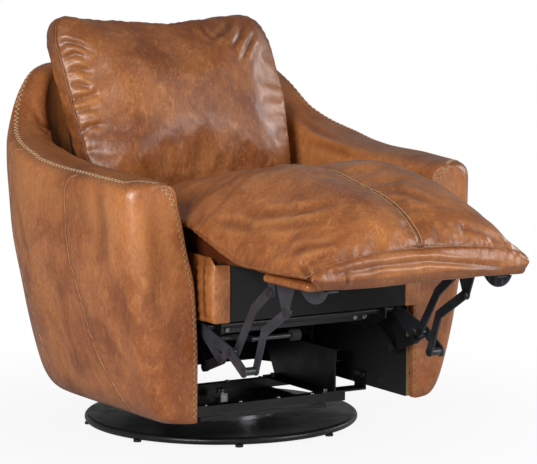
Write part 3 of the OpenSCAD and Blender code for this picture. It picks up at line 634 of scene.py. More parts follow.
class Finish(Enum):
    """The finishes of the chair's pieces."""

    TUB_LEATHER = LeatherFinish("tub leather")
    # The back cushion's leather is a darker copy of the tub's: painted shade.
    SHADED_BACK_LEATHER = LeatherFinish("back cushion leather", base=(0.25, 0.072, 0.018), gloss=0.4,
                                 burnish_amount=0.66)
    SEAT_LEATHER = LeatherFinish("seat leather", base=(0.37, 0.112, 0.024), patch=6.0, gloss=0.35, shine=0.6)
    # Darker leather for the welts and the rods sunk under seams: painted shade in the seam crevices.
    WELT_SHADE_LEATHER = LeatherFinish("shade-darkened welt leather", base=(0.2, 0.055, 0.015), gloss=0.45, crease=0.2)
    # Paler leather for the fine rods along the panel seams.
    PALE_SEAM_LEATHER = LeatherFinish("pale seam leather", base=(0.52, 0.24, 0.1), burnish=(0.24, 0.09, 0.03),
                                 gloss=0.5, crease=0.2)
    THREAD = ClothFinish("cream thread", (0.5, 0.36, 0.2), (0.72, 0.58, 0.38), 1800.0, 0.7)
    # The front stitching's thread is a darker copy of the cream thread: painted shade.
    SHADED_THREAD = ClothFinish("shade-darkened front thread", (0.38, 0.22, 0.1), (0.55, 0.37, 0.2), 1800.0, 0.7)
    BLACK_STEEL = SteelFinish("black powder coat", (0.006, 0.006, 0.007), (0.028, 0.028, 0.032), 0.3)
    LINK_STEEL = SteelFinish("slate link coat", (0.034, 0.037, 0.046), (0.12, 0.13, 0.155), 0.38, 0.2)
    PIN_STEEL = SteelFinish("dark pin steel", (0.05, 0.05, 0.055), (0.2, 0.2, 0.21), 0.3, 0.7)
    BRIGHT_STEEL = SteelFinish("zinc plate", (0.35, 0.35, 0.37), (0.6, 0.6, 0.62), 0.28, 1.0, 0.4)
    RUBBER = ClothFinish("black rubber", (0.008, 0.008, 0.008), (0.022, 0.022, 0.022), 500.0, 0.75)
    DUST_CLOTH = ClothFinish("black dust cloth", (0.006, 0.006, 0.007), (0.022, 0.022, 0.025))
    TIMBER = TimberFinish("raw timber")
    # Near-black timber for the seat rails and the front board: painted shade inside the seat.
    SHADE_BLACKENED_TIMBER = TimberFinish("shade-blackened timber", (0.05, 0.032, 0.02), (0.02, 0.012, 0.008))


MADE: dict[Finish, bpy.types.Material] = {finish: finish.value.make() for finish in Finish}


# Mesh helpers


def smooth_lookup(x: float, xs: list[float], ys: list[float]) -> float:
    """Reads a table with a smooth curve through its points that never overshoots.

    Args:
        x: Where to read.
        xs: Rising places.
        ys: Value at each place.

    Returns:
        The value at x, held at the ends.
    """
    if x <= xs[0]:
        return ys[0]
    if x >= xs[-1]:
        return ys[-1]
    i = int(np.searchsorted(xs, x)) - 1
    rises = [(ys[k + 1] - ys[k]) / (xs[k + 1] - xs[k]) for k in range(len(xs) - 1)]

    def slope(k: int) -> float:
        """Slope at the point k.

        Args:
            k: Number of the point.

        Returns:
            The curve's slope there.
        """
        if k == 0 or k == len(xs) - 1:
            return rises[0] if k == 0 else rises[-1]
        a, b = rises[k - 1], rises[k]
        return 0.0 if a * b <= 0 else 2 * a * b / (a + b)

    h = xs[i + 1] - xs[i]
    t = (x - xs[i]) / h
    return ((2 * t ** 3 - 3 * t ** 2 + 1) * ys[i] + (t ** 3 - 2 * t ** 2 + t) * h * slope(i)
            + (3 * t ** 2 - 2 * t ** 3) * ys[i + 1] + (t ** 3 - t ** 2) * h * slope(i + 1))


def mesh_object(name: str, points: list[Point], faces: list[tuple[int, ...]], finish: Finish,
                smooth: bool = True) -> bpy.types.Object:
    """Makes a mesh object with one finish.

    Args:
        name: The piece's name.
        points: Its vertices.
        faces: Its faces.
        finish: What it is made of.
        smooth: Whether its faces are shaded smoothly.

    Returns:
        The object, linked to the scene.
    """
    mesh = bpy.data.meshes.new(name)
    mesh.from_pydata([tuple(p) for p in points], [], faces)
    mesh.validate()
    mesh.polygons.foreach_set("use_smooth", [smooth] * len(mesh.polygons))
    mesh.materials.append(MADE[finish])
    made = bpy.data.objects.new(name, mesh)
    bpy.context.scene.collection.objects.link(made)
    face_outward(mesh)
    return made


def face_outward(mesh: bpy.types.Mesh, merge: float = 0.0) -> None:
    """Turns all faces outward, after merging the vertices that lie closer than a distance.

    Args:
        mesh: The mesh.
        merge: That distance, or 0 for no merging.
    """
    loose = bmesh.new()
    loose.from_mesh(mesh)
    if merge:
        bmesh.ops.remove_doubles(loose, verts=loose.verts, dist=merge)
    bmesh.ops.recalc_face_normals(loose, faces=loose.faces)
    loose.to_mesh(mesh)
    loose.free()


def band(low: int, high: int, count: int) -> list[tuple[int, ...]]:
    """The faces between two closed rings of vertices.

    Args:
        low: Number of the first ring's first vertex.
        high: Number of the second ring's first vertex.
        count: Vertices in each ring.

    Returns:
        One face for each step round the ring.
    """
    return [(low + k, low + (k + 1) % count, high + (k + 1) % count, high + k) for k in range(count)]


def ring_mesh(name: str, rings: list[list[Point]], finish: Finish) -> bpy.types.Object:
    """Closes a row of rings into a solid whose ends are filled in strips.

    Args:
        name: The piece's name.
        rings: Rings of the same even count, an outer run and then the inner run back.
        finish: What it is made of.

    Returns:
        The object.
    """
    n, count = len(rings[0]), len(rings)
    points = [p for ring in rings for p in ring]
    faces = [face for i in range(count - 1) for face in band(i * n, (i + 1) * n, n)]
    for start in (0, (count - 1) * n):
        faces += [(start + j, start + j + 1, start + n - 2 - j, start + n - 1 - j) for j in range(n // 2 - 1)]
    return mesh_object(name, points, faces, finish)


def subdivide(piece: bpy.types.Object) -> None:
    """Splits every face once, with smooth subdivision.

    Args:
        piece: The piece.
    """
    modifier = piece.modifiers.new("smooth", "SUBSURF")
    modifier.levels = modifier.render_levels = 1
    bake(piece)


def bake(piece: bpy.types.Object) -> None:
    """Applies every modifier of a piece to its mesh.

    Args:
        piece: The piece.
    """
    bpy.context.view_layer.update()
    evaluated = piece.evaluated_get(bpy.context.evaluated_depsgraph_get())
    mesh = bpy.data.meshes.new_from_object(evaluated)
    piece.modifiers.clear()
    old = piece.data
    piece.data = mesh
    if not mesh.materials and old.materials:
        mesh.materials.append(old.materials[0])
    mesh.polygons.foreach_set("use_smooth", [True] * len(mesh.polygons))
    bpy.data.meshes.remove(old)


def coordinates(piece: bpy.types.Object, what: str = "co") -> np.ndarray:
    """The piece's vertices, or another vector that each of them has.

    Args:
        piece: The piece.
        what: Name of the vector: co or normal.

    Returns:
        One row for each vertex.
    """
    values = np.empty(len(piece.data.vertices) * 3)
    piece.data.vertices.foreach_get(what, values)
    return values.reshape(-1, 3)


def set_coordinates(piece: bpy.types.Object, places: np.ndarray) -> None:
    """Moves the piece's vertices to new places."""
    piece.data.vertices.foreach_set("co", places.reshape(-1))
    piece.data.update()


def swell(piece: bpy.types.Object, move: np.ndarray) -> None:
    """Moves each vertex along its own normal."""
    set_coordinates(piece, coordinates(piece) + coordinates(piece, "normal") * move[:, None])


def set_mask(piece: bpy.types.Object, name: str, values: np.ndarray) -> None:
    """Stores a value from 0 to 1 on each vertex, adding to what is there.

    Args:
        piece: The piece.
        name: The mask's name.
        values: One value for each vertex.
    """
    attribute = piece.data.attributes.get(name) or piece.data.attributes.new(name, "FLOAT", "POINT")
    old = np.empty(len(piece.data.vertices), np.float32)
    attribute.data.foreach_get("value", old)
    attribute.data.foreach_set("value", np.clip(old + values, 0, 1).astype(np.float32))


def lengths_along(path: np.ndarray) -> np.ndarray:
    """How far along a polyline each of its points lies."""
    return np.concatenate([[0.0], np.cumsum(np.linalg.norm(np.diff(path, axis=0), axis=1))])


def dense(path: list[Point], step: float = 0.002) -> np.ndarray:
    """Points along a polyline at an even step.

    Args:
        path: The polyline.
        step: About how far apart the points lie.

    Returns:
        The points as rows, both ends included.
    """
    row = np.array(path, float)
    along = lengths_along(row)
    places = np.linspace(0, along[-1], max(int(along[-1] / step), 2) + 1)
    return np.stack([np.interp(places, along, row[:, k]) for k in range(3)], axis=1)


def rounded_path(path: tuple[Point, ...]) -> list[Point]:
    """A polyline with its corners cut twice.

    Args:
        path: The polyline.

    Returns:
        The smoother polyline, with the same ends.
    """
    row = [np.array(p, float) for p in path]
    for _ in range(2):
        cut = [row[0]]
        for a, b in zip(row, row[1:]):
            cut += [a * 0.75 + b * 0.25, a * 0.25 + b * 0.75]
        row = cut + [row[-1]]
    return [tuple(p) for p in row]


def skin(piece: bpy.types.Object) -> BVHTree:
    """The faces of a piece, ready for rays and for the nearest point."""
    return BVHTree.FromPolygons([tuple(p) for p in coordinates(piece)],
                                [tuple(f.vertices) for f in piece.data.polygons])


def nearest(piece: bpy.types.Object, path: np.ndarray) -> tuple[np.ndarray, np.ndarray]:
    """Distance of each vertex to a path, and how far along it the nearest place lies.

    Args:
        piece: The piece.
        path: The path's points as rows.

    Returns:
        The distances, and the lengths along the path.
    """
    tree = KDTree(len(path))
    for i, p in enumerate(path):
        tree.insert(p, i)
    tree.balance()
    along = lengths_along(path)
    found = [tree.find(p)[1:] for p in coordinates(piece)]
    return np.array([f[1] for f in found]), along[[f[0] for f in found]]


def ripple(values: np.ndarray, seed: float) -> np.ndarray:
    """Smooth wandering noise in one dimension, from -1 to 1."""
    return np.array([noise.noise(Vector((v, seed, seed * 0.37))) for v in values])


def pucker(piece: bpy.types.Object, path: np.ndarray, depth: float, reach: float, wave: float, seed: float,
           groove: float = 0.0, width: float = 0.004) -> None:
    """Draws the leather in along a seam, with small gathers across it, and paints shade into the seam's groove
    and, more faintly, over the gathers.

    Args:
        piece: The piece to shape.
        path: Points along the seam.
        depth: Height of the gathers.
        reach: How far from the seam they fade out.
        wave: Length of one gather.
        seed: Picks the pattern.
        groove: Depth of the valley that the seam lies in.
        width: Half width of that valley.
    """
    distance, along = nearest(piece, path)
    fade = np.exp(-(distance / reach) ** 1.4)
    gathers = np.sin(2 * math.pi * along / wave + 2.4 * ripple(along / (2.3 * wave), seed))
    strength = 0.45 + 0.55 * ripple(along / (4.0 * wave), seed + 5)
    move = depth * gathers * strength * fade * np.clip(distance / width, 0, 1)
    move -= groove * np.exp(-(distance / width) ** 2)
    swell(piece, move)
    # Painted shade: strong in the seam's groove, faint over the gathers beside it.
    set_mask(piece, "painted_shade", 0.75 * np.exp(-(distance / width) ** 2) + 0.16 * fade)


@dataclass(frozen=True)
class Fold:
    """One soft crease in the leather, along pixels of the photograph.

    Attributes:
        pixels: The crease's places in the photograph.
        depth: How deep the valley is, negative for a raised roll.
        width: Half width of the valley.
    """

    pixels: tuple[Pixel, ...]
    depth: float = 0.004
    width: float = 0.008


def surface_path(piece: bpy.types.Object, pixels: tuple[Pixel, ...]) -> np.ndarray:
    """Points of a piece's surface that lie under a row of pixels.

    Args:
        piece: The piece that the rays meet.
        pixels: Places in the photograph's frame.

    Returns:
        Points every 3 mm, without those that miss the piece.
    """
    tree = skin(piece)
    row = dense([(x, y, 0.0) for x, y in pixels], 0.7)
    hits = [tree.ray_cast(Vector(VIEW.place), VIEW.ray((x, y)))[0] for x, y, _ in row]
    return np.array([tuple(h) for h in hits if h is not None])


def fold_leather(piece: bpy.types.Object, folds: list[Fold]) -> None:
    """Presses soft creases into a piece, each with a rolled lip beside it, and paints shade into each valley and
    a highlight on each lip.

    Args:
        piece: The piece to shape.
        folds: The creases.
    """
    for number, fold in enumerate(folds):
        path = surface_path(piece, fold.pixels)
        if len(path) < 2:
            log.info("fold %d of %s misses the piece", number, piece.name)
            continue
        distance, along = nearest(piece, path)
        ends = np.clip(np.minimum(along, along.max() - along) / (0.25 * along.max() + 1e-6), 0, 1)
        ends = np.where(distance > 4 * fold.width, 0, 0.25 + 0.75 * ends)
        wander = 1 + 0.35 * ripple(along / 0.03, number + 2.5)
        t = distance / (fold.width * wander)
        move = fold.depth * ends * (0.55 * np.exp(-((t - 2.0) / 0.9) ** 2) - np.exp(-t ** 2))
        swell(piece, move)
        # Painted shade in the crease's valley, and below it a painted highlight on the rolled lip.
        set_mask(piece, "painted_shade", 0.35 * ends * np.exp(-t ** 2) * np.sign(max(fold.depth, 0)))
        set_mask(piece, "painted_highlight", 0.3 * ends * np.exp(-((t - 1.8) / 0.8) ** 2))


def slow_swell(piece: bpy.types.Object, height: float, size: float, seed: float) -> None:
    """Adds a soft unevenness, as filling has under leather."""
    start = Vector((seed, seed, seed))
    swell(piece, np.array([noise.noise(Vector(p) / size + start) for p in coordinates(piece)]) * height)


def tube_mesh(name: str, path: np.ndarray, radius: float, finish: Finish,
              closed: bool = False) -> bpy.types.Object:
    """A welt or a raised seam: a round rod along a path.

    Args:
        name: The piece's name.
        path: Points along its middle.
        radius: Its radius.
        finish: What it is made of.
        closed: Whether it joins its own start.

    Returns:
        The object.
    """
    count, sides = len(path), 8
    points, faces = [], []
    for i, p in enumerate(path):
        a = path[i - 1] if i or closed else path[i]
        b = path[(i + 1) % count] if i < count - 1 or closed else path[i]
        ahead = Vector(b - a).normalized()
        side = ahead.cross(Vector((0.13, 0.21, 0.97))).normalized()
        up = side.cross(ahead)
        for k in range(sides):
            turn = 2 * math.pi * k / sides
            points.append(tuple(Vector(p) + (side * math.cos(turn) + up * math.sin(turn)) * radius))
    for i in range(count if closed else count - 1):
        faces += band(i * sides, (i + 1) % count * sides, sides)
    if not closed:
        faces += [tuple(range(sides)), tuple(range((count - 1) * sides, count * sides))]
    return mesh_object(name, points, faces, finish)


@dataclass
class Stitching:
    """A row of thread stitches that lie on a surface along a path.

    Attributes:
        pitch: Length of one stitch along the path.
        width: Half width of the row. Zero gives plain running stitches.
        thread: Radius of the thread.
        cover: Share of the pitch that a running stitch covers.
        sides: Faces round the thread.
    """

    pitch: float
    width: float
    thread: float
    cover: float = 0.68
    sides: int = 6

    def make(self, name: str, path: np.ndarray, facing: np.ndarray, finish: Finish) -> bpy.types.Object:
        """Builds the stitches as one mesh.

        Args:
            name: The piece's name.
            path: Points along the row.
            facing: The surface's outward direction at each of them.
            finish: The thread.

        Returns:
            The object.
        """
        along = lengths_along(path)
        points: list[Point] = []
        faces: list[tuple[int, ...]] = []

        def at(s: float) -> tuple[Vector, Vector, Vector]:
            """Place, way ahead and outward direction at the distance s.

            Args:
                s: That distance.

            Returns:
                The three vectors.
            """
            p = Vector([np.interp(s, along, path[:, k]) for k in range(3)])
            q = Vector([np.interp(min(s + 0.002, along[-1]), along, path[:, k]) for k in range(3)])
            o = Vector([np.interp(max(s - 0.002, 0), along, path[:, k]) for k in range(3)])
            out = Vector([np.interp(s, along, facing[:, k]) for k in range(3)]).normalized()
            return p, (q - o).normalized(), out

        def thread(a: Vector, b: Vector, out: Vector) -> None:
            """One stitch from a to b that dips into the leather at its ends.

            Args:
                a: Its first hole.
                b: Its second hole.
                out: Away from the leather.
            """
            side = (b - a).normalized().cross(out).normalized()
            base = len(points)
            for share, rise in ((0.0, -0.6), (0.25, 0.55), (0.75, 0.55), (1.0, -0.6)):
                centre = a.lerp(b, share) + out * rise * self.thread
                for k in range(self.sides):
                    turn = 2 * math.pi * k / self.sides
                    points.append(tuple(centre + (side * math.cos(turn) + out * math.sin(turn)) * self.thread))
            for start in range(base, len(points) - self.sides, self.sides):
                faces.extend(band(start, start + self.sides, self.sides))

        for i in range(int(along[-1] / self.pitch)):
            s = i * self.pitch
            a, ahead, out = at(s)
            b, _, _ = at(s + self.pitch * (1.0 if self.width else self.cover))
            side = ahead.cross(out).normalized() * (self.width if i % 2 else -self.width)
            thread(a - side, b + side, out)
        return mesh_object(name, points, faces, finish)


def place_piece(piece: bpy.types.Object, body: str, nodes: tuple[str, ...] = ()) -> bpy.types.Object:
    """Makes a piece ride on a body and hides the nodes that it stands for.

    Args:
        piece: The piece.
        body: The body that carries it.
        nodes: The nodes that it replaces.

    Returns:
        The same piece.
    """
    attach(piece, body)
    if nodes:
        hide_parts(*nodes)
    log.info("%s rides on %s", piece.name, body)
    return piece


# The tub: arms and outer back under one leather cover


@dataclass
class TubCover:
    """The leather cover of both arms and the outer back, with its seams and stitching.

    Attributes:
        half: Half of the width over the arms.
        front: Distance of the arm fronts ahead of the swivel axis.
        rear_y: Where the arms end and the round back starts.
        rear_reach: Reach of the outer back behind that place.
        hem: Height of the hem.
        arm_top: Height of the arm tops at the front.
        back_top: Height of the top of the back.
        roll: Height of the rolled top.
        corner: Radius of the rounded front edge.
        board_line: Half width to which the cover closes behind the front wrap.
        round_power: How square the rolled top is.
        wrap: How far the leather is wrapped round the front edge.
        taper_z, taper_w: Height shares and width shares of the outer face.
        ridge_y, ridge_z: Places along the top and its share of the rise there.
        stitch_turn: Place of the top's stitching round the roll, in degrees.
        seams: The panel seams of a side, as Y and Z, from the top down.
    """

    half: float = 0.461
    front: float = 0.380
    rear_y: float = 0.047
    rear_reach: float = 0.385
    hem: float = 0.085
    arm_top: float = 0.612
    back_top: float = 0.812
    roll: float = 0.045
    corner: float = 0.045
    board_line: float = 0.293
    round_power: float = 0.72
    wrap: float = 0.022
    stitch_turn: float = 57.0
    taper_z: list[float] = field(default_factory=lambda: [
        0, 0.03, 0.066, 0.11, 0.158, 0.243, 0.37, 0.502, 0.626, 0.736, 0.818, 0.898, 0.952, 1])
    taper_w: list[float] = field(default_factory=lambda: [
        0.772, 0.81, 0.837, 0.859, 0.88, 0.911, 0.946, 0.98, 0.9935, 1, 0.997, 0.983, 0.965, 0.945])
    ridge_y: list[float] = field(default_factory=lambda: [
        -1, -0.49, -0.137, 0.124, 0.224, 0.492, 0.671, 0.789, 0.868, 0.926])
    ridge_z: list[float] = field(default_factory=lambda: [0, 0.035, 0.055, 0.1, 0.13, 0.23, 0.4, 0.74, 0.94, 1])
    seams: list[list[tuple[float, float]]] = field(default_factory=lambda: [
        [(0.12, 0.676), (0.15, 0.64), (0.18, 0.6), (0.192, 0.52), (0.188, 0.445), (0.168, 0.349), (0.14, 0.27),
         (0.11, 0.19), (0.09, 0.095)],
        [(-0.152, 0.628), (-0.13, 0.6), (-0.113, 0.575), (-0.106, 0.48), (-0.11, 0.415), (-0.123, 0.364),
         (-0.15, 0.257), (-0.168, 0.207), (-0.204, 0.152), (-0.24, 0.092)]])

    def share(self, z: float) -> float:
        """Height above the hem as a share of the tub's rise."""
        return (z - self.hem) / (self.back_top - self.hem)

    def taper(self, z: float) -> float:
        """Share of the full half width at the height z."""
        return smooth_lookup(self.share(z), self.taper_z, self.taper_w)

    def gap(self, z: float) -> float:
        """Half of the clear width between the arms at the height z.

        Args:
            z: The height.

        Returns:
            The half width.
        """
        return 0.272 + 0.049 * smooth_lookup(
            self.share(z), [0.241, 0.351, 0.426, 0.509, 0.585, 0.664, 0.736, 0.846, 1],
            [0, 0.06, 0.18, 0.49, 0.69, 1, 1.18, 1.35, 1.4])

    def inner(self, z: float) -> float:
        """Half width of the inner face behind the front wrap at the height z."""
        return max(self.gap(z), self.board_line)

    def gap_rear(self, z: float) -> float:
        """Reach of the inner face of the back at the height z."""
        return 0.225 + 0.075 * smooth_lookup(self.share(z), [0.488, 0.664, 0.846, 0.928], [0, 0.5, 0.9, 1])

    def top(self, y: float) -> float:
        """Height of the rolled top at the place y."""
        share = smooth_lookup(y / self.front, self.ridge_y, self.ridge_z)
        return self.arm_top + (self.back_top - self.arm_top) * share

    def inset(self, d: float) -> float:
        """How far the rounded front corner draws in at the distance d behind the front."""
        r = self.corner
        return r - math.sqrt(max(r * r - (r - d) ** 2, 0)) if d < r else 0.0

    def outer(self, y: float, z: float) -> float:
        """Half width of the outer face at a place.

        Args:
            y: Place along the chair.
            z: The height.

        Returns:
            The half width there.
        """
        t = self.taper(z)
        if y < self.rear_y:
            bow = 0.017 * ((self.rear_y - y) / (self.rear_y + self.front)) ** 2
            return (self.half - bow) * t - self.inset(y + self.front)
        s = min((y - self.rear_y) / (self.rear_reach * t), 1)
        return self.half * t * (1 - s ** 2.4) ** (1 / 2.4)

    def section(self, top: float, outer: list[Point], inner: list[Point], levels: list[float]) -> list[Point]:
        """One ring of the section, up the outer face, over the roll and down the inner face.

        Args:
            top: Height of the rolled top.
            outer: The outer face at each level.
            inner: The inner face at each level.
            levels: The heights of both.

        Returns:
            The ring's points.
        """
        a, b = np.array(outer[-1]), np.array(inner[-1])
        middle, half = (a + b) / 2, (a - b) / 2
        low = top - self.roll
        up = [(outer[i][0], outer[i][1], z) for i, z in enumerate(levels)]
        down = [(inner[i][0], inner[i][1], z) for i, z in reversed(list(enumerate(levels)))]
        over = []
        for k in range(1, 18):
            turn = math.pi * k / 18
            across = math.cos(turn)
            flat = middle + half * math.copysign(abs(across) ** self.round_power, across)
            over.append((flat[0], flat[1], low + self.roll * math.sin(turn) ** self.round_power))
        return up + over[:8] + [over[8], over[8]] + over[9:] + down

    def levels(self, top: float) -> list[float]:
        """Heights of the ring below the roll.

        Args:
            top: Height of the rolled top.

        Returns:
            The heights, from the hem up.
        """
        low = top - self.roll
        shares = (0, 0.008, 0.025, 0.06, 0.1, 0.16, 0.22, 0.28, 0.34, 0.4, 0.46, 0.52, 0.58, 0.64, 0.7, 0.76,
                  0.82, 0.88, 0.94, 1)
        return [self.hem + s * (low - self.hem) for s in shares]

    def hem_tuck(self, z: float) -> float:
        """How far the cover rolls under at the hem."""
        t = max(0.0, 1 - (z - self.hem) / 0.012)
        return 0.008 * t * t

    def arm_ring(self, d: float, side: Side) -> list[Point]:
        """Ring of one arm at the distance d behind its front face.

        Args:
            d: That distance.
            side: Which arm.

        Returns:
            The ring's points.
        """
        y = d - self.front
        soft = self.inset(d) / self.corner
        top = self.top(y) - 0.009 * soft
        levels = self.levels(top)
        outer = [(self.outer(y, z) - self.hem_tuck(z), y) for z in levels]
        inner = [(self.gap(z) + 0.006 * soft if d <= self.wrap else self.inner(z), y) for z in levels]
        return [(side.value * x, q, z) for x, q, z in self.section(top, outer, inner, levels)]

    def back_ring(self, turn: float) -> list[Point]:
        """Ring of the back at a turn from 0 at the left to 180 at the right.

        Args:
            turn: The turn, in degrees.

        Returns:
            The ring's points.
        """
        u = min(turn, 180 - turn)
        side = 1 if turn <= 90 else -1
        c, s = max(math.cos(math.radians(u)), 0.0), math.sin(math.radians(u))
        top = self.top(self.rear_y + 0.3425 * s ** (2 / 3))
        levels = self.levels(top)
        outer = [(side * (self.half * self.taper(z) - self.hem_tuck(z)) * c ** (2 / 2.4),
                  self.rear_y + (self.rear_reach * self.taper(z) - self.hem_tuck(z)) * s ** (2 / 2.4))
                 for z in levels]
        inner = [(side * self.inner(z) * c ** 0.5, self.rear_y + self.gap_rear(z) * s ** 0.5) for z in levels]
        return self.section(top, outer, inner, levels)

    def build(self) -> bpy.types.Object:
        """Builds the cover with its folds and gathers.

        Returns:
            The cover.
        """
        deep = [self.corner * (1 - math.cos(math.radians(a))) for a in (0, 12, 24, 36, 48, 60)]
        deep += [self.wrap, self.wrap + 0.002, 0.034, self.corner]
        deep += [self.corner + (self.rear_y + self.front - self.corner) * k / 26 for k in range(1, 27)]
        rings = [self.arm_ring(d, Side.LEFT) for d in deep]
        rings += [self.back_ring(180 * k / 64) for k in range(1, 64)]
        rings += [self.arm_ring(d, Side.RIGHT) for d in reversed(deep)]
        cover = ring_mesh("tub_cover", rings, Finish.TUB_LEATHER)
        face_outward(cover.data, 0.0002)
        subdivide(cover)
        slow_swell(cover, 0.0022, 0.13, 3.0)
        for number, seam in enumerate(self.seams):
            for side in Side:
                pucker(cover, dense(self.seam_path(seam, side)), 0.0009, 0.02, 0.022, number + side.value, 0.0016)
        fold_leather(cover, [
            Fold(((36, 124), (45, 131), (56, 137), (68, 142)), 0.005, 0.008),
            Fold(((33, 110), (40, 122), (52, 130), (62, 134)), 0.004, 0.007),
            Fold(((44, 141), (60, 149), (80, 156)), 0.003, 0.006),
            Fold(((300, 118), (318, 131), (340, 141)), 0.003, 0.008),
            Fold(((312, 142), (335, 150), (360, 158)), 0.003, 0.01),
            Fold(((18, 210), (24, 240), (30, 262)), 0.002, 0.012),
            Fold(((96, 180), (104, 230), (100, 280)), 0.0016, 0.02),
            Fold(((150, 200), (158, 260), (152, 330)), 0.0016, 0.02)])
        self.shade(cover)
        return place_piece(cover, "chassis", ("left_arm", "right_arm", "outer_back"))

    def shade(self, cover: bpy.types.Object) -> None:
        """Paints shade on the hem and on the rolled top, and a highlight on the shoulder below it.

        Args:
            cover: The tub's cover.
        """
        places = coordinates(cover)
        low = np.clip(1 - (places[:, 2] - self.hem) / 0.05, 0, 1) ** 2
        ridge = np.array([self.top(y) for y in places[:, 1]])
        high = np.exp(-((places[:, 2] - ridge) / 0.012) ** 2)
        shoulder = np.exp(-((places[:, 2] - ridge + 0.07) / 0.045) ** 2)
        # Painted shade toward the hem and along the top of the roll, and a painted highlight on the shoulder.
        set_mask(cover, "painted_shade", 0.6 * low + 0.42 * high)
        set_mask(cover, "painted_highlight", 0.3 * shoulder)

    def seam_path(self, seam: list[tuple[float, float]], side: Side) -> list[Point]:
        """The outer face's points under a seam given in Y and Z."""
        line = dense([(y, z, 0.0) for y, z in seam], 0.006)
        return [(side.value * self.outer(y, z), y, z) for y, z in line[:, :2]]

    def front_path(self, side: Side) -> list[Point]:
        """The way of the front's stitching, from the hem up the inner edge to the roll.

        Args:
            side: Which arm.

        Returns:
            Points of the way.
        """
        line = ((0.283, 0.094), (0.283, 0.26), (0.286, 0.34), (0.2935, 0.395), (0.308, 0.455), (0.319, 0.51),
                (0.332, 0.557))
        return [(side.value * x, -self.front - 0.001, z) for x, z in line]

    def top_path(self, side: Side) -> list[Point]:
        """The way of the top's stitching, from the front along the roll to the middle of the back.

        Args:
            side: Which arm.

        Returns:
            Points of the way.
        """
        corner = ((0.332, -0.381, 0.557), (0.34, -0.38, 0.576), (0.353, -0.377, 0.592), (0.372, -0.368, 0.603),
                  (0.394, -0.351, 0.609))
        path = [(side.value * x, y, z) for x, y, z in corner]
        turn, start = math.radians(self.stitch_turn), -0.33
        for k in range(30):
            y = start + (self.rear_y - start) * k / 29
            low = self.top(y) - self.roll
            outer, inner = self.outer(y, low), self.inner(low)
            x = (outer + inner) / 2 + (outer - inner) / 2 * math.cos(turn) ** self.round_power
            path.append((side.value * x, y, low + self.roll * math.sin(turn) ** self.round_power))
        for k in range(1, 46):
            ring = self.back_ring(90 * k / 45)
            x, y, z = Vector(ring[25]).lerp(Vector(ring[26]), 0.2)
            path.append((side.value * x, y, z))
        return path

    def trim(self, cover: bpy.types.Object) -> None:
        """Adds the panel seams and the zigzag stitching of the top and of the front.

        Args:
            cover: The tub's cover, on which they lie.
        """
        tree = skin(cover)
        for side in Side:
            word = side.name.lower()
            for number, seam in enumerate(self.seams):
                path, _ = settle(tree, dense(self.seam_path(seam, side), 0.004), -0.0002)
                # Pale leather rod along each panel seam.
                place_piece(tube_mesh(f"{word}_panel_seam_{number}", path, 0.0011, Finish.PALE_SEAM_LEATHER),
                            "chassis")
            for place, line, half, thread, finish in (
                    ("top", self.top_path(side), 0.0048, 0.00075, Finish.THREAD),
                    # The front row uses the darker copy of the thread: painted shade.
                    ("front", self.front_path(side), 0.0042, 0.00085, Finish.SHADED_THREAD)):
                path, facing = settle(tree, dense(line, 0.003), 0.0002)
                # A dark rod sunk under each row of stitches: painted shade in the seam.
                place_piece(tube_mesh(f"{word}_{place}_seam", path - facing * 0.001, 0.0018, Finish.WELT_SHADE_LEATHER),
                            "chassis")
                row = Stitching(pitch=0.0068, width=half, thread=thread)
                place_piece(row.make(f"{word}_{place}_stitches", path, facing, finish), "chassis")


def settle(tree: BVHTree, path: np.ndarray, lift: float) -> tuple[np.ndarray, np.ndarray]:
    """Lays a path on a surface.

    Args:
        tree: The surface.
        path: Points near it.
        lift: How far above it the path lies.

    Returns:
        The points on the surface and its outward direction at each.
    """
    places, facing = [], []
    for p in path:
        where, out, _, _ = tree.find_nearest(Vector(p))
        places.append(where + out * lift)
        facing.append(out)
    return np.array(places), np.array(facing)


# Cushions

# Half width of the strip beside a seam that the filling doesn't move
SEAM_HOLD = 0.006


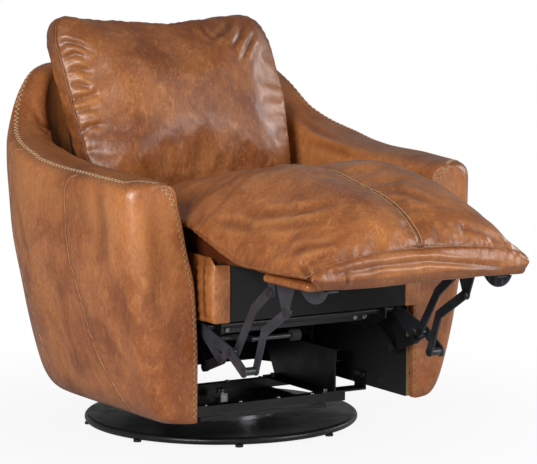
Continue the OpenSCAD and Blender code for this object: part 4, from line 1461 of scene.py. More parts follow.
@dataclass(frozen=True)
class Stuffing:
    """How a cushion is filled out by the cloth simulation.

    Attributes:
        slack: Extra leather, as a share, that falls into soft wrinkles.
        voxel: Size of the remesh.
        pressure: Push of the filling.
        cap: The furthest that a point may move.
        tension: Stiffness of the leather against stretch.
        shear: Its stiffness against skewing.
        bending: Its stiffness against folding.
        mass: Mass of each point.
        frames: How long the filling settles.
    """

    slack: float
    voxel: float = 0.0065
    pressure: float = 3.0
    cap: float = 0.014
    tension: float = 18.0
    shear: float = 8.0
    bending: float = 14.0
    mass: float = 0.4
    frames: int = 16

    def fill(self, piece: bpy.types.Object, held: np.ndarray) -> None:
        """Swells a piece between its held points and applies the result.

        Args:
            piece: The cushion, already remeshed.
            held: How firmly each point is held, from 0 to 1.
        """
        start = coordinates(piece).copy()
        group = piece.vertex_groups.new(name="held")
        for i in np.nonzero(held > 0.02)[0]:
            group.add([int(i)], float(held[i]), "REPLACE")
        cloth = piece.modifiers.new("filling", "CLOTH")
        settings = cloth.settings
        settings.use_pressure = True
        settings.uniform_pressure_force = self.pressure
        settings.effector_weights.gravity = 0.0
        settings.vertex_group_mass = "held"
        settings.pin_stiffness = 1.0
        settings.quality = 4
        settings.mass = self.mass
        settings.tension_stiffness = settings.compression_stiffness = self.tension
        settings.shear_stiffness = self.shear
        settings.bending_stiffness = self.bending
        settings.shrink_min = -self.slack
        cloth.collision_settings.use_collision = False
        scene = bpy.context.scene
        for number in range(1, self.frames + 1):
            scene.frame_set(number)
        bake(piece)
        scene.frame_set(1)
        piece.vertex_groups.clear()
        moved = coordinates(piece) - start
        length = np.linalg.norm(moved, axis=1, keepdims=True)
        scale = np.where(length > 1e-9, self.cap * np.tanh(length / self.cap) / np.maximum(length, 1e-9), 1.0)
        set_coordinates(piece, start + moved * scale)

    def remesh(self, piece: bpy.types.Object) -> None:
        """Gives a piece an even skin.

        Args:
            piece: The piece.
        """
        modifier = piece.modifiers.new("skin", "REMESH")
        modifier.mode = "VOXEL"
        modifier.voxel_size = self.voxel * 1.0
        modifier.use_smooth_shade = True
        bake(piece)
        smooth = piece.modifiers.new("even", "SMOOTH")
        smooth.factor, smooth.iterations = 0.5, 4
        bake(piece)


@dataclass
class BackCushion:
    """The loose back cushion: a boxed cushion with soft top corners.

    Its shape is given across (x), up the slope from the hinge (v) and rearward (w).

    Attributes:
        lean: Lean of the back from the vertical, in degrees.
        hinge: Y and Z of the back hinge.
        low: Place of the lower edge up the slope.
        high: Height of the cushion along the slope.
        narrow: Width of the rear seam as a share of the front seam's.
        front_seam, rear_seam: Rearward places of the two boxing seams.
        crown, rear_crown: How far the face and the rear bulge.
        rear_limit: Rearward place that the cushion stays ahead of.
        side_limit: Half width that it stays within.
        square: How round the outline's corners are, near 0 for sharp ones.
        steps: Points round the outline.
        side_v: Places up the slope at which the half widths are given.
        right_half, left_half: Half width of each side there.
        top_x, top_v: Height of the upper edge across the cushion.
    """

    lean: float = 18.0
    hinge: tuple[float, float] = (0.185, 0.342)
    low: float = 0.152
    high: float = 0.432
    narrow: float = 0.955
    front_seam: float = -0.116
    rear_seam: float = -0.046
    crown: float = 0.06
    rear_crown: float = 0.013
    rear_limit: float = -0.0307
    side_limit: float = 0.3045
    square: float = 0.12
    steps: int = 112
    side_v: list[float] = field(default_factory=lambda: [0.152, 0.26, 0.33, 0.4, 0.4845, 0.53, 0.584])
    right_half: list[float] = field(default_factory=lambda: [0.26, 0.266, 0.278, 0.286, 0.294, 0.3, 0.294])
    left_half: list[float] = field(default_factory=lambda: [0.262, 0.28, 0.285, 0.285, 0.278, 0.269, 0.256])
    top_x: list[float] = field(default_factory=lambda: [
        -0.303, -0.286, -0.255, -0.225, -0.169, -0.058, 0.024, 0.081, 0.153, 0.2, 0.236, 0.262])
    top_v: list[float] = field(default_factory=lambda: [
        0.567, 0.578, 0.577, 0.569, 0.562, 0.555, 0.551, 0.555, 0.563, 0.565, 0.556, 0.54])

    def at(self, x: float, v: float, w: float) -> Point:
        """A point given across, up the slope and rearward.

        Args:
            x: Across.
            v: Up the slope from the hinge.
            w: Rearward from it.

        Returns:
            The point in the chair's frame.
        """
        t = math.radians(self.lean)
        return (x, self.hinge[0] + w * math.cos(t) + v * math.sin(t),
                self.hinge[1] - w * math.sin(t) + v * math.cos(t))

    def outline(self, inset: float = 0.0, narrow: float = 1.0) -> list[tuple[float, float]]:
        """The outline all the way round, with an ear at each top corner and a dip between.

        Args:
            inset: How far it is drawn in on all sides.
            narrow: Share of its full width.

        Returns:
            X and V of each point.
        """
        row = []
        middle = self.low + self.high / 2
        for k in range(self.steps):
            turn = 2 * math.pi * k / self.steps
            c, s = math.cos(turn), math.sin(turn)
            x = math.copysign(abs(c) ** self.square, c)
            t = math.copysign(abs(s) ** self.square, s)
            widths = self.left_half if x > 0 else self.right_half
            half = smooth_lookup(middle + t * self.high / 2, self.side_v, widths)
            reach = self.high / 2 if t < 0 else smooth_lookup(x * half, self.top_x, self.top_v) - middle
            row.append((x * (half - inset) * narrow, middle + t * (reach - inset)))
        return row

    def build(self) -> bpy.types.Object:
        """Builds, fills and creases the cushion.

        Returns:
            The cushion's cover.
        """
        middle, n = self.low + self.high / 2, self.steps
        boxing = ((self.front_seam, 0.0, 1.0), (self.front_seam * 0.7 + self.rear_seam * 0.3, -0.003, 0.99),
                  (self.front_seam * 0.3 + self.rear_seam * 0.7, -0.003, 0.975),
                  (self.rear_seam, 0.0, self.narrow))
        points = [self.at(x, v, w) for w, inset, narrow in boxing for x, v in self.outline(inset, narrow)]
        faces = [face for i in range(3) for face in band(i * n, (i + 1) * n, n)]
        for last, w, crown, narrow in ((0, self.front_seam, -self.crown, 1.0),
                                       (3 * n, self.rear_seam, self.rear_crown, self.narrow)):
            for share in (0.93, 0.82, 0.66, 0.45, 0.22):
                rise = (1 - share ** 2.6) ** 0.75
                faces += band(last, len(points), n)
                last = len(points)
                points += [self.at(x * share, middle + (v - middle) * share, w + crown * rise)
                           for x, v in self.outline(0.0, narrow)]
            faces += [(last + j, last + (j + 1) % n, len(points)) for j in range(n)]
            points.append(self.at(0, middle, w + crown))
        # The back cushion's darker leather is painted shade.
        cushion = mesh_object("back_cushion_cover", points, faces, Finish.SHADED_BACK_LEATHER)
        stuffing = Stuffing(slack=0.012)
        stuffing.remesh(cushion)
        front, rear = self.seam_line(self.front_seam, 1.0), self.seam_line(self.rear_seam, self.narrow)
        spans = np.minimum(nearest(cushion, front)[0], nearest(cushion, rear)[0])
        held = np.exp(-(spans / SEAM_HOLD) ** 2)
        flat = self.depth_of(coordinates(cushion)) > self.rear_seam + 0.004
        stuffing.fill(cushion, np.where(flat, 1.0, np.where(held > 0.3, held, 0)))
        subdivide(cushion)
        slow_swell(cushion, 0.003, 0.2, 8.0)
        pucker(cushion, front, 0.0013, 0.022, 0.021, 4.0, 0.0022, 0.0045)
        pucker(cushion, rear, 0.0013, 0.02, 0.024, 7.0, 0.002, 0.005)
        fold_leather(cushion, self.folds())
        self.keep_clear(cushion)
        # Painted shade: the cushion darkens toward its top.
        set_mask(cushion, "painted_shade", 0.34 * np.clip((coordinates(cushion)[:, 2] - 0.79) / 0.1, 0, 1))
        self.dress(cushion, front, rear)
        return place_piece(cushion, "back", ("back_cushion",))

    def depth_of(self, places: np.ndarray) -> np.ndarray:
        """Rearward place of points, across the slope."""
        t = math.radians(self.lean)
        return (places[:, 1] - self.hinge[0]) * math.cos(t) - (places[:, 2] - self.hinge[1]) * math.sin(t)

    def keep_clear(self, cushion: bpy.types.Object) -> None:
        """Keeps the rear ahead of the frame and the sides between the arms.

        Args:
            cushion: The filled cushion.
        """
        places = coordinates(cushion)
        t = math.radians(self.lean)
        over = np.clip(self.depth_of(places) - self.rear_limit, 0, None)
        places[:, 1] -= over * math.cos(t)
        places[:, 2] += over * math.sin(t)
        places[:, 0] = np.clip(places[:, 0], -self.side_limit, self.side_limit)
        set_coordinates(cushion, places)

    def seam_line(self, w: float, narrow: float) -> np.ndarray:
        """Points along one of the two boxing seams, closed."""
        row = [self.at(x, v, w) for x, v in self.outline(0.0, narrow)]
        return dense(row + row[:1], 0.003)

    def folds(self) -> list[Fold]:
        """The creases that the photograph shows on the cushion.

        Returns:
            The folds, in the order in which they are pressed.
        """
        return [
            Fold(((59, 46), (66, 42), (78, 44), (92, 52)), 0.004, 0.007),
            Fold(((64, 58), (74, 54), (86, 56)), 0.003, 0.006),
            Fold(((66, 70), (76, 68), (90, 72)), 0.0035, 0.006),
            Fold(((68, 84), (80, 84), (94, 90)), 0.003, 0.006),
            Fold(((70, 100), (82, 98), (100, 92)), 0.0035, 0.007),
            Fold(((73, 114), (84, 110), (98, 108)), 0.0025, 0.006),
            Fold(((80, 132), (90, 126), (104, 124)), 0.003, 0.007),
            Fold(((232, 20), (226, 30), (212, 40)), 0.0035, 0.008),
            Fold(((243, 24), (240, 36), (232, 48)), 0.003, 0.007),
            Fold(((254, 34), (248, 46), (242, 60)), 0.003, 0.007),
            Fold(((200, 26), (206, 34), (216, 40)), 0.0022, 0.007)]

    def dress(self, cushion: bpy.types.Object, front: np.ndarray, rear: np.ndarray) -> None:
        """Adds the welts in the two seams.

        Args:
            cushion: The finished cushion.
            front: Points of the front seam.
            rear: Points of the rear seam.
        """
        tree = skin(cushion)
        for word, line in (("front", front), ("rear", rear)):
            path, _ = settle(tree, line[:-1], 0.0)
            # The welts' darker leather is painted shade along the seams.
            place_piece(tube_mesh(f"back_{word}_welt", path, 0.0013, Finish.WELT_SHADE_LEATHER, closed=True),
                        "back")


@dataclass
class ChaisePad:
    """The seat cushion and footrest pad: one long cushion that bends at the fold.

    Attributes:
        rows: Place along Y, crown, seam height, half width and underside of each ring.
        tuck_half: Half width of the underside between the arms.
        front_half: Half width of the front border.
        rise_s, rise_shares: Rise of the face across the pad, with a valley on the centre seam.
        lip: Height of the thin border under the welt.
        seat_half: Half width that the part between the arms stays within below arm_z.
        wide_half: Half width that all of it stays within.
        board_y: Front of the part between the arms.
        floors: Lowest height behind each place along Y, from the rear.
        front_floor: Lowest height ahead of the last of them.
        front_limit: Place that it stays behind.
    """

    rows: list[tuple[float, float, float, float, float]] = field(default_factory=lambda: [
        (0.090, 0.500, 0.4695, 0.287, 0.3765), (0.0405, 0.528, 0.488, 0.294, 0.3765),
        (0.0, 0.5455, 0.5015, 0.297, 0.3765), (-0.1005, 0.572, 0.512, 0.297, 0.3765),
        (-0.201, 0.593, 0.516, 0.297, 0.3765), (-0.3015, 0.611, 0.518, 0.297, 0.3765),
        (-0.368, 0.622, 0.516, 0.297, 0.3765), (-0.396, 0.6275, 0.507, 0.297, 0.3765),
        (-0.4025, 0.628, 0.505, 0.297, 0.4315), (-0.455, 0.6355, 0.491, 0.297, 0.4315),
        (-0.495, 0.6365, 0.478, 0.297, 0.4315), (-0.553, 0.6265, 0.464, 0.2965, 0.4315),
        (-0.632, 0.612, 0.454, 0.2935, 0.4315), (-0.6385, 0.611, 0.4535, 0.293, 0.4445),
        (-0.682, 0.600, 0.4512, 0.288, 0.4445), (-0.726, 0.5845, 0.452, 0.2835, 0.4445),
        (-0.770, 0.5615, 0.4542, 0.279, 0.4445), (-0.805, 0.533, 0.455, 0.275, 0.4445),
        (-0.8145, 0.518, 0.455, 0.274, 0.4445), (-0.817, 0.510, 0.4547, 0.2735, 0.425),
        (-0.8205, 0.502, 0.4545, 0.272, 0.425), (-0.8265, 0.490, 0.452, 0.2705, 0.426),
        (-0.830, 0.472, 0.446, 0.264, 0.429)])
    tuck_half: float = 0.238
    front_half: float = 0.272
    rise_s: list[float] = field(default_factory=lambda: [0, 0.05, 0.1, 0.233, 0.4, 0.567, 0.733, 0.867, 0.95, 1])
    rise_shares: list[float] = field(default_factory=lambda: [
        0.895, 0.92, 0.955, 1, 0.976, 0.894, 0.692, 0.394, 0.173, 0])
    lip: float = 0.012
    seat_half: float = 0.2565
    arm_z: float = 0.45
    wide_half: float = 0.3025
    board_y: float = -0.64
    floors: tuple[tuple[float, float], ...] = ((-0.401, 0.3764), (-0.637, 0.4305), (-0.8148, 0.4434))
    front_floor: float = 0.424
    front_limit: float = -0.839

    def value(self, y: float, column: int) -> float:
        """Reads one column of the rows at the place y."""
        rows = sorted(self.rows)
        return float(np.interp(y, [r[0] for r in rows], [r[column] for r in rows]))

    def values(self, places: np.ndarray, column: int) -> np.ndarray:
        """Reads one column of the rows beside each of some points."""
        return np.array([self.value(y, column) for y in places[:, 1]])

    def face(self, s: float, y: float, crown: float, seam: float) -> float:
        """Height of the face at the share s of its half width, with a valley on the centre seam.

        Args:
            s: That share, from -1 to 1.
            y: Place along the pad.
            crown: Height of the crown.
            seam: Height of the side seams.

        Returns:
            The height.
        """
        fall = 1 + 0.9 * min(max((y + 0.45) / 0.2, 0), 1)
        rise = smooth_lookup(abs(s), self.rise_s, self.rise_shares)
        return seam + (crown - seam) * (rise ** fall if abs(s) > 0.3 else rise)

    def ring(self, row: tuple[float, float, float, float, float]) -> list[Point]:
        """One ring: a crowned face, a thin lip under the welt and a tucked-in underside.

        Args:
            row: One row of the table: y, crown, seam, half width and underside.

        Returns:
            The ring's points.
        """
        y, crown, seam, half, under = row
        low = self.tuck_half if y > -0.638 else half * 0.94
        lip = min(self.lip, (seam - under) / 2)
        steps = [math.cos(math.pi * k / 24) for k in range(25)]
        face = [(half * c, y, self.face(c, y, crown, seam)) for c in steps]
        edge, tuck = (half * 0.965, y, seam - lip), (low, y, seam - 1.6 * lip)
        base = [(low * c, y, under) for c in reversed(steps)]
        return [edge] + face + [(-x, y, z) for x, y, z in (edge, tuck)] + base + [tuck]

    def side_seam(self, side: Side) -> list[Point]:
        """The seam between the face and the side border, from the rear to the front corner."""
        return [(side.value * self.value(y, 3), y, self.value(y, 2)) for y in np.linspace(0.088, -0.812, 90)]

    def front_seam(self) -> list[Point]:
        """The seam between the face and the front border, from the left ear to the right.

        Returns:
            Points of the seam.
        """
        row = []
        for x in np.linspace(self.front_half, -self.front_half, 80):
            s = abs(x) / self.front_half
            row.append((x, -0.8205 + 0.0085 * s ** 6, 0.456 + 0.043 * (1 - s ** 2.2) ** 0.8))
        return row

    def centre_seam(self) -> list[Point]:
        """The topstitched seam down the middle."""
        return [(0.0, y, self.face(0.0, y, self.value(y, 1), self.value(y, 2)))
                for y in np.linspace(0.08, -0.818, 120)]

    def build(self) -> bpy.types.Object:
        """Builds, fills and creases the pad.

        Returns:
            The pad's cover.
        """
        pad = ring_mesh("chaise_cover", [self.ring(r) for r in self.rows], Finish.SEAT_LEATHER)
        stuffing = Stuffing(slack=0.014)
        stuffing.remesh(pad)
        seams = {word: dense(line, 0.003) for word, line in (
            ("left", self.side_seam(Side.LEFT)), ("right", self.side_seam(Side.RIGHT)),
            ("front", self.front_seam()), ("centre", self.centre_seam()))}
        spans = np.min([nearest(pad, line)[0] for line in seams.values()], axis=0)
        held = np.exp(-(spans / SEAM_HOLD) ** 2)
        places = coordinates(pad)
        low = np.maximum(self.values(places, 4) + 0.006, self.values(places, 2) - 0.002)
        firm = (places[:, 2] < low) | (places[:, 1] > 0.084) | (places[:, 1] < -0.822)
        stuffing.fill(pad, np.where(firm, 1.0, np.where(held > 0.3, held, 0)))
        subdivide(pad)
        slow_swell(pad, 0.004, 0.2, 21.0)
        for number, word in enumerate(("left", "right", "front")):
            pucker(pad, seams[word], 0.0014, 0.02, 0.022, 30.0 + number, 0.0024, 0.0045)
        pucker(pad, seams["centre"], 0.0009, 0.02, 0.022, 41.0, 0.0022, 0.0045)
        fold_leather(pad, self.folds())
        self.keep_clear(pad)
        self.shade(pad)
        self.dress(pad, seams)
        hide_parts("seat_cushion", "footrest_pad")
        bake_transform(pad)
        log.info("%s bends between seat and footrest", pad.name)
        return pad

    def shade(self, pad: bpy.types.Object) -> None:
        """Paints shade on the tucked-in underside, on the front border and toward the rear of the seat.

        Args:
            pad: The pad's cover.
        """
        x, y, z = coordinates(pad).T
        seam = self.values(coordinates(pad), 2)
        tucked = (z < seam - 0.0135) & (np.abs(x) < 0.262) & (y > self.board_y)
        border = np.clip((seam + 0.002 - z) / 0.004, 0, 1) * np.clip((-0.79 - y) / 0.01, 0, 1)
        # Painted shade: full on the tucked-in underside, strong on the front border, light toward the rear of the
        # seat.
        set_mask(pad, "painted_shade", tucked * 1.0 + 0.6 * border + 0.2 * np.clip((y + 0.62) / 0.2, 0, 1))

    def keep_clear(self, pad: bpy.types.Object) -> None:
        """Keeps the pad between the arms and above the boards.

        Args:
            pad: The filled pad.
        """
        places = coordinates(pad)
        x, y, z = places.T
        limit = np.where((z < self.arm_z) & (y > self.board_y), self.seat_half, self.wide_half)
        floor = np.full(len(places), self.front_floor)
        for behind, height in reversed(self.floors):
            floor[y > behind] = height
        set_coordinates(pad, np.stack([np.clip(x, -limit, limit), np.maximum(y, self.front_limit),
                                       np.maximum(z, floor)], axis=1))

    def folds(self) -> list[Fold]:
        """The creases that the photograph shows on the pad.

        Returns:
            The folds, in the order in which they are pressed.
        """
        return [
            Fold(((252, 214), (280, 214), (306, 210), (332, 203)), 0.004, 0.014),
            Fold(((262, 226), (292, 224), (318, 220)), 0.0024, 0.01),
            Fold(((286, 254), (312, 246), (340, 242)), 0.0022, 0.009),
            Fold(((214, 222), (236, 224), (256, 230)), 0.002, 0.009),
            Fold(((392, 190), (412, 194), (436, 204)), 0.003, 0.012),
            Fold(((456, 226), (480, 232), (504, 244)), 0.002, 0.008),
            Fold(((328, 276), (380, 266), (430, 261), (500, 266)), 0.0035, 0.006),
            Fold(((300, 262), (306, 272), (310, 284)), 0.004, 0.006),
            Fold(((346, 272), (349, 279), (348, 287)), 0.004, 0.004)]

    def dress(self, pad: bpy.types.Object, seams: dict[str, np.ndarray]) -> None:
        """Adds the welts and the double row of topstitching.

        Args:
            pad: The finished pad.
            seams: Points of each seam, by its name.
        """
        tree = skin(pad)
        for word in ("left", "right", "front"):
            path, _ = settle(tree, seams[word], 0.0001)
            # The welts' darker leather is painted shade along the seams.
            self.bend(tube_mesh(f"pad_{word}_welt", path, 0.0016, Finish.WELT_SHADE_LEATHER))
        path, _ = settle(tree, seams["centre"], 0.0)
        # The dark rod down the centre seam is painted shade in its groove.
        self.bend(tube_mesh("pad_centre_seam", path, 0.0009, Finish.WELT_SHADE_LEATHER))
        stitches, apart = Stitching(pitch=0.0055, width=0.0, thread=0.0007), 0.0052
        for side in Side:
            row, facing = settle(tree, path + np.array([side.value * apart, 0, 0]), 0.0004)
            row[:, 0] = path[:, 0] + side.value * apart
            self.bend(stitches.make(f"pad_{side.name.lower()}_topstitch", row, facing, Finish.THREAD))

    def bend(self, piece: bpy.types.Object) -> None:
        """Bakes a trim piece's transform into its mesh, as is done for the pad."""
        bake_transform(piece)


# Boards, rail wraps and steel


def soft_block(name: str, low: Point, high: Point, round_off: float, finish: Finish) -> bpy.types.Object:
    """A block with rounded edges and enough faces to be shaped.

    Args:
        name: The piece's name.
        low: Its lowest corner.
        high: Its highest corner.
        round_off: Radius of its edges.
        finish: What it is made of.

    Returns:
        The object.
    """
    a, b = np.array(low), np.array(high)
    middle, half = (a + b) / 2, (b - a) / 2
    most = 42
    counts = [max(2, min(most, int(side * 2 / half.min()))) for side in half]
    shape = bmesh.new()
    grid: dict[tuple[int, int, int], bmesh.types.BMVert] = {}

    def vertex(key: tuple[int, int, int]) -> bmesh.types.BMVert:
        """The vertex at a place of the grid on the block's skin.

        Args:
            key: Steps along x, y and z.

        Returns:
            The vertex, made when it is first asked for.
        """
        if key not in grid:
            t = np.array([2 * k / n - 1 for k, n in zip(key, counts)])
            p = t * half
            core = np.clip(p, -(half - round_off), half - round_off)
            out = p - core
            length = np.linalg.norm(out)
            if length > 1e-9:
                p = core + out / length * round_off
            grid[key] = shape.verts.new(tuple(middle + p))
        return grid[key]

    for axis in range(3):
        u, v = [k for k in range(3) if k != axis]
        for end in (0, counts[axis]):
            for i in range(counts[u]):
                for j in range(counts[v]):
                    corners = []
                    for di, dj in ((0, 0), (1, 0), (1, 1), (0, 1)):
                        key = [0, 0, 0]
                        key[axis], key[u], key[v] = end, i + di, j + dj
                        corners.append(vertex(tuple(key)))
                    shape.faces.new(corners)
    bmesh.ops.recalc_face_normals(shape, faces=shape.faces)
    mesh = bpy.data.meshes.new(name)
    shape.to_mesh(mesh)
    shape.free()
    mesh.polygons.foreach_set("use_smooth", [True] * len(mesh.polygons))
    mesh.materials.append(MADE[finish])
    made = bpy.data.objects.new(name, mesh)
    bpy.context.scene.collection.objects.link(made)
    return made


@dataclass
class LeatherBoards:
    """The leather round the footrest board and round the ends of the seat's front rail.

    Attributes:
        board_low, board_high: Opposite corners of the footrest board.
        board_edge: Radius of its edges.
        wrap_front: Place of the wrap's front face.
        wrap_way: The left wrap's way round the front corner, seen from above.
        wrap_low: Its lower edge.
        wrap_tops: Its upper edge in front and at the side.
        wrap_seams: Places along Y of its gathered seams.
        seam_x: Half width at which those lie.
        puff: How far the leather stands out.
        backing: How far its rear face lies behind the wrap's way.
    """

    board_low: Point = (-0.272, -0.814, 0.424)
    board_high: Point = (0.272, -0.638, 0.443)
    board_edge: float = 0.006
    wrap_front: float = -0.4262
    wrap_way: tuple[Point, ...] = ((0.2228, -0.4262, 0), (0.25, -0.4262, 0), (0.2618, -0.4262, 0),
                                   (0.2618, -0.413, 0), (0.2618, -0.3142, 0))
    wrap_low: float = 0.3055
    wrap_tops: tuple[float, float] = (0.4306, 0.448)
    wrap_seams: tuple[float, float] = (-0.386, -0.352)
    seam_x: float = 0.2665
    puff: float = 0.006
    backing: float = 0.0028

    def build(self) -> None:
        """Builds the wrapped board and both rail ends."""
        board = soft_block("footrest_board_cover", self.board_low, self.board_high, self.board_edge,
                           Finish.SEAT_LEATHER)
        subdivide(board)
        slow_swell(board, 0.0012, 0.05, 12.0)
        place_piece(board, "footrest", ("footrest_board",))
        for side in Side:
            wrap = ring_mesh(f"{side.name.lower()}_rail_wrap", self.wrap_rings(side), Finish.SEAT_LEATHER)
            subdivide(wrap)
            slow_swell(wrap, 0.0016, 0.03, 5.0 + side.value)
            for y in self.wrap_seams:
                seam = dense([(side.value * self.seam_x, y, z) for z in (self.wrap_low, self.wrap_tops[1])])
                pucker(wrap, seam, 0.0036, 0.017, 0.022, 3.0 + 9 * y + side.value, 0.003, 0.005)
            place_piece(wrap, "seat", (f"{side.name.lower()}_wrap",))

    def wrap_rings(self, side: Side) -> list[list[Point]]:
        """Rings up one wrap, which runs round the board's corner and back along the seat.

        Args:
            side: Which wrap.

        Returns:
            The rings, from the bottom up.
        """
        line = dense(rounded_path(self.wrap_way), 0.004)
        ahead = np.gradient(line, axis=0)
        out = np.stack([ahead[:, 1], -ahead[:, 0]], axis=1) / np.linalg.norm(ahead, axis=1)[:, None]
        back = np.clip((line[:, 1] - self.wrap_front) / 0.02, 0, 1)
        tops = self.wrap_tops[0] + (self.wrap_tops[1] - self.wrap_tops[0]) * back

        def run(across: float, along: float, share: float) -> list[Point]:
            """The wrap's way moved outward in X and in Y, at a share of its height."""
            return [(side.value * (x + n[0] * across), y + n[1] * along,
                     self.wrap_low + (top - self.wrap_low) * share) for (x, y, _), n, top in zip(line, out, tops)]

        rings = []
        for share in (k / 22 for k in range(23)):
            puff = self.puff * math.sin(math.pi * share) ** 0.6 - 0.001
            rings.append(run(puff, puff * 0.5, share) + run(-self.backing, -self.backing, share)[::-1])
        return rings


@dataclass
class StampedRibs:
    """The pressed ribs on the half-moon plates under the footrest.

    Attributes:
        plate_x: Half width at which the inner faces of the plates lie.
        places: Place of each rib along Y.
        middle: Middle of the half-moon along Y.
        half: Half of its length.
        edge: Height of its straight upper edge.
        drop: How far it hangs down in the middle.
        half_width: Half width of a rib.
        rise: How far a rib stands out.
    """

    plate_x: float = 0.224
    places: tuple[float, ...] = (-0.742, -0.767, -0.79)
    middle: float = -0.767
    half: float = 0.053
    edge: float = 0.424
    drop: float = 0.031
    half_width: float = 0.0026
    rise: float = 0.0016

    def build(self) -> None:
        """Adds the ribs to the inner face of both plates."""
        for side in Side:
            points: list[Point] = []
            faces: list[tuple[int, ...]] = []
            for y in self.places:
                base = len(points)
                low = self.edge - self.drop + 0.03 * ((y - self.middle) / self.half) ** 2
                for z in np.linspace(low + 0.002, self.edge - 0.0045, 6):
                    for dy, dx in ((-self.half_width, 0.0), (-0.0014, -self.rise), (0.0014, -self.rise),
                                   (self.half_width, 0.0)):
                        points.append((side.value * (self.plate_x + dx), y + dy, z))
                for k in range(5):
                    faces += [(base + 4 * k + j, base + 4 * k + j + 1, base + 4 * k + j + 5, base + 4 * k + j + 4)
                              for j in range(3)]
            ribs = mesh_object(f"{side.name.lower()}_bracket_ribs", points, faces, Finish.LINK_STEEL)
            place_piece(ribs, "footrest")


@dataclass
class BoltHeads:
    """Button heads with a driving hollow on the visible fixings.

    Attributes:
        radius: Radius of a head.
        sides: Faces round it.
        profile: Share of the radius and height of each ring of a head, the hollow last.
    """

    radius: float = 0.0062
    sides: int = 14
    profile: tuple[tuple[float, float], ...] = ((1.0, 0.0), (1.0, 0.0014), (0.8, 0.0027), (0.42, 0.0034),
                                                (0.36, 0.0022))

    def build(self) -> None:
        """Adds the heads on the front cross rail and on the two rails of the base."""
        self.row("seat", "cross_rail_heads",
                 [(x, -0.3123, 0.27) for x in (0.19, -0.19, 0.165, -0.165)], (0, -1, 0))
        self.row("chassis", "base_rail_heads",
                 [(x, y, 0.0765) for y in (-0.172, 0.058) for x in (-0.14, -0.05, 0.05, 0.14)], (0, 0, 1))

    def row(self, body: str, name: str, places: list[Point], way: Point) -> None:
        """Adds heads as one piece.

        Args:
            body: The body that they ride on.
            name: The piece's name.
            places: Middle of the foot of each head.
            way: The way that they face.
        """
        out = Vector(way)
        side = out.orthogonal().normalized()
        up = out.cross(side)
        points: list[Point] = []
        faces: list[tuple[int, ...]] = []
        for place in places:
            for ring, (share, rise) in enumerate(self.profile):
                if ring:
                    faces += band(len(points) - self.sides, len(points), self.sides)
                for k in range(self.sides):
                    turn = 2 * math.pi * k / self.sides
                    points.append(tuple(Vector(place) + (side * math.cos(turn) + up * math.sin(turn))
                                        * self.radius * share + out * rise))
            faces.append(tuple(range(len(points) - self.sides, len(points))))
        place_piece(mesh_object(name, points, faces, Finish.BRIGHT_STEEL), body)


SLOT_FINISH: dict[str, Finish] = {
    "black_steel": Finish.BLACK_STEEL,
    "link_steel": Finish.LINK_STEEL,
    "bright_steel": Finish.BRIGHT_STEEL,
    "rubber": Finish.RUBBER,
    "plywood": Finish.TIMBER,
    "cambric": Finish.DUST_CLOTH,
    "lining": Finish.DUST_CLOTH,
    "leather": Finish.TUB_LEATHER,
}


NODES_OF_FINISH: dict[Finish, tuple[str, ...]] = {
    Finish.BLACK_STEEL: ("left_side_plate", "right_side_plate", "left_channel", "right_channel",
                         "left_seat_plate", "right_seat_plate"),
    Finish.PIN_STEEL: ("left_slide_bar", "right_slide_bar", "seat_springs", "seat_pins", "bracket_pins",
                       "crank_pins", "rear_arm_pins", "stop_rod"),
    # These rails and the front board are darkened as painted shade.
    Finish.SHADE_BLACKENED_TIMBER: ("left_seat_rail", "right_seat_rail", "rear_seat_rail", "front_board"),
    Finish.DUST_CLOTH: ("back_frame",),
}


def dress_nodes() -> None:
    """Gives each node its slot's finish, or one of its own."""
    for part in frame["record"]["subparts"]:
        node = frame["nodes"][part["node"]]
        node.data.materials.clear()
        node.data.materials.append(MADE[SLOT_FINISH[part["material_slot"]]])
    for finish, names in NODES_OF_FINISH.items():
        for name in names:
            frame["nodes"][name].data.materials[0] = MADE[finish]


# Floor and light


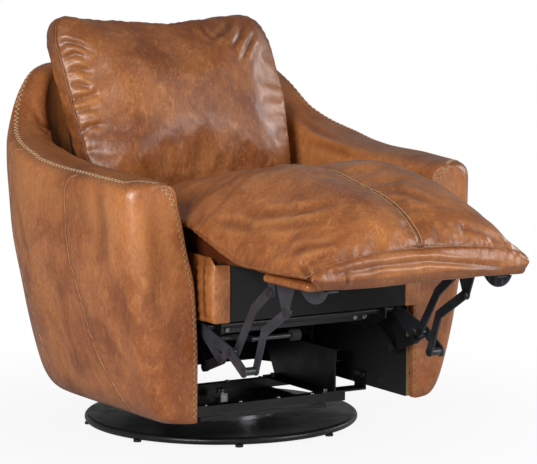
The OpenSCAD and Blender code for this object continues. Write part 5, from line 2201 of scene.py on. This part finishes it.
@dataclass
class Studio:
    """A white floor and backdrop with soft lamps.

    Attributes:
        key, fill, rim: Power of the three lamps.
        floor_half: Half of the floor's side.
        floor_z: Height of the floor, just under the feet.
        grey: Colour of the floor in the light that it sends back.
        ambient: Strength of the world's light.
    """

    key: float = 245.0
    fill: float = 84.0
    rim: float = 60.0
    floor_half: float = 9.0
    floor_z: float = -0.0006
    grey: float = 0.6
    ambient: float = 0.26

    def lamp(self, name: str, place: Point, aim: Point, size: float, power: float) -> None:
        """Adds one soft square lamp.

        Args:
            name: The lamp's name.
            place: Where it stands.
            aim: What it looks at.
            size: Length of its side.
            power: Its power, in watts.
        """
        data = bpy.data.lights.new(name, "AREA")
        data.energy = power
        data.size = size
        made = bpy.data.objects.new(name, data)
        made.location = place
        made.rotation_euler = (Vector(aim) - Vector(place)).to_track_quat("-Z", "Y").to_euler()
        bpy.context.scene.collection.objects.link(made)

    def white(self, material: bpy.types.Material) -> None:
        """Lets the camera and glass see a surface as white, but for a faint shadow near the chair.

        Args:
            material: The surface's material.
        """
        tree = Tree(material.node_tree)
        shader = material.node_tree.nodes["Principled BSDF"]
        output = next(n for n in material.node_tree.nodes if n.type == "OUTPUT_MATERIAL")
        away = tree.node("VectorMath", operation="LENGTH")
        tree.put(away.inputs[0], tree.place())
        share = tree.span(away.outputs["Value"], 0.3, 1.3, 0.9, 1.0)
        glow = tree.node("Emission")
        glow.inputs["Strength"].default_value = 1.0
        mixed = tree.node("MixShader")
        tree.put(mixed.inputs[0], tree.times(tree.seen(), share))
        tree.put(mixed.inputs[1], shader.outputs[0])
        tree.put(mixed.inputs[2], glow.outputs[0])
        tree.put(output.inputs["Surface"], mixed.outputs[0])

    def build(self) -> None:
        """Builds the floor, the world and the lamps."""
        a = self.floor_half
        corners = [(x, y, self.floor_z) for x, y in ((-a, -a), (a, -a), (a, a), (-a, a))]
        floor = mesh_object("floor", corners, [(0, 1, 2, 3)], Finish.DUST_CLOTH, smooth=False)
        material, _, shader = start_material("white floor")
        shader.inputs["Base Color"].default_value = (self.grey, self.grey, self.grey, 1)
        shader.inputs["Roughness"].default_value = 0.9
        self.white(material)
        floor.data.materials[0] = material
        world = bpy.data.worlds.new("studio")
        bpy.context.scene.world = world
        world.use_nodes = True
        tree = Tree(world.node_tree)
        background = world.node_tree.nodes["Background"]
        background.inputs["Color"].default_value = (1, 1, 1, 1)
        tree.put(background.inputs["Strength"],
                 tree.plus(tree.times(tree.seen(), 1 - self.ambient), self.ambient))
        self.lamp("key", (-4.1, -3.1, 2.1), (0, -0.1, 0.45), 1.7, self.key)
        self.lamp("fill", (2.6, -4.6, 1.7), (0, -0.2, 0.4), 2.2, self.fill)
        self.lamp("rim", (4.2, -0.6, 1.7), (0, -0.1, 0.5), 1.6, self.rim)


def main() -> None:
    """Builds the pieces in order and reports each."""
    bpy.context.scene.view_settings.view_transform = "Standard"
    dress_nodes()
    tub = TubCover()
    cover = tub.build()
    tub.trim(cover)
    cushion = BackCushion().build()
    ChaisePad().build()
    LeatherBoards().build()
    StampedRibs().build()
    BoltHeads().build()
    Studio().build()


if __name__ == "__main__":
    main()
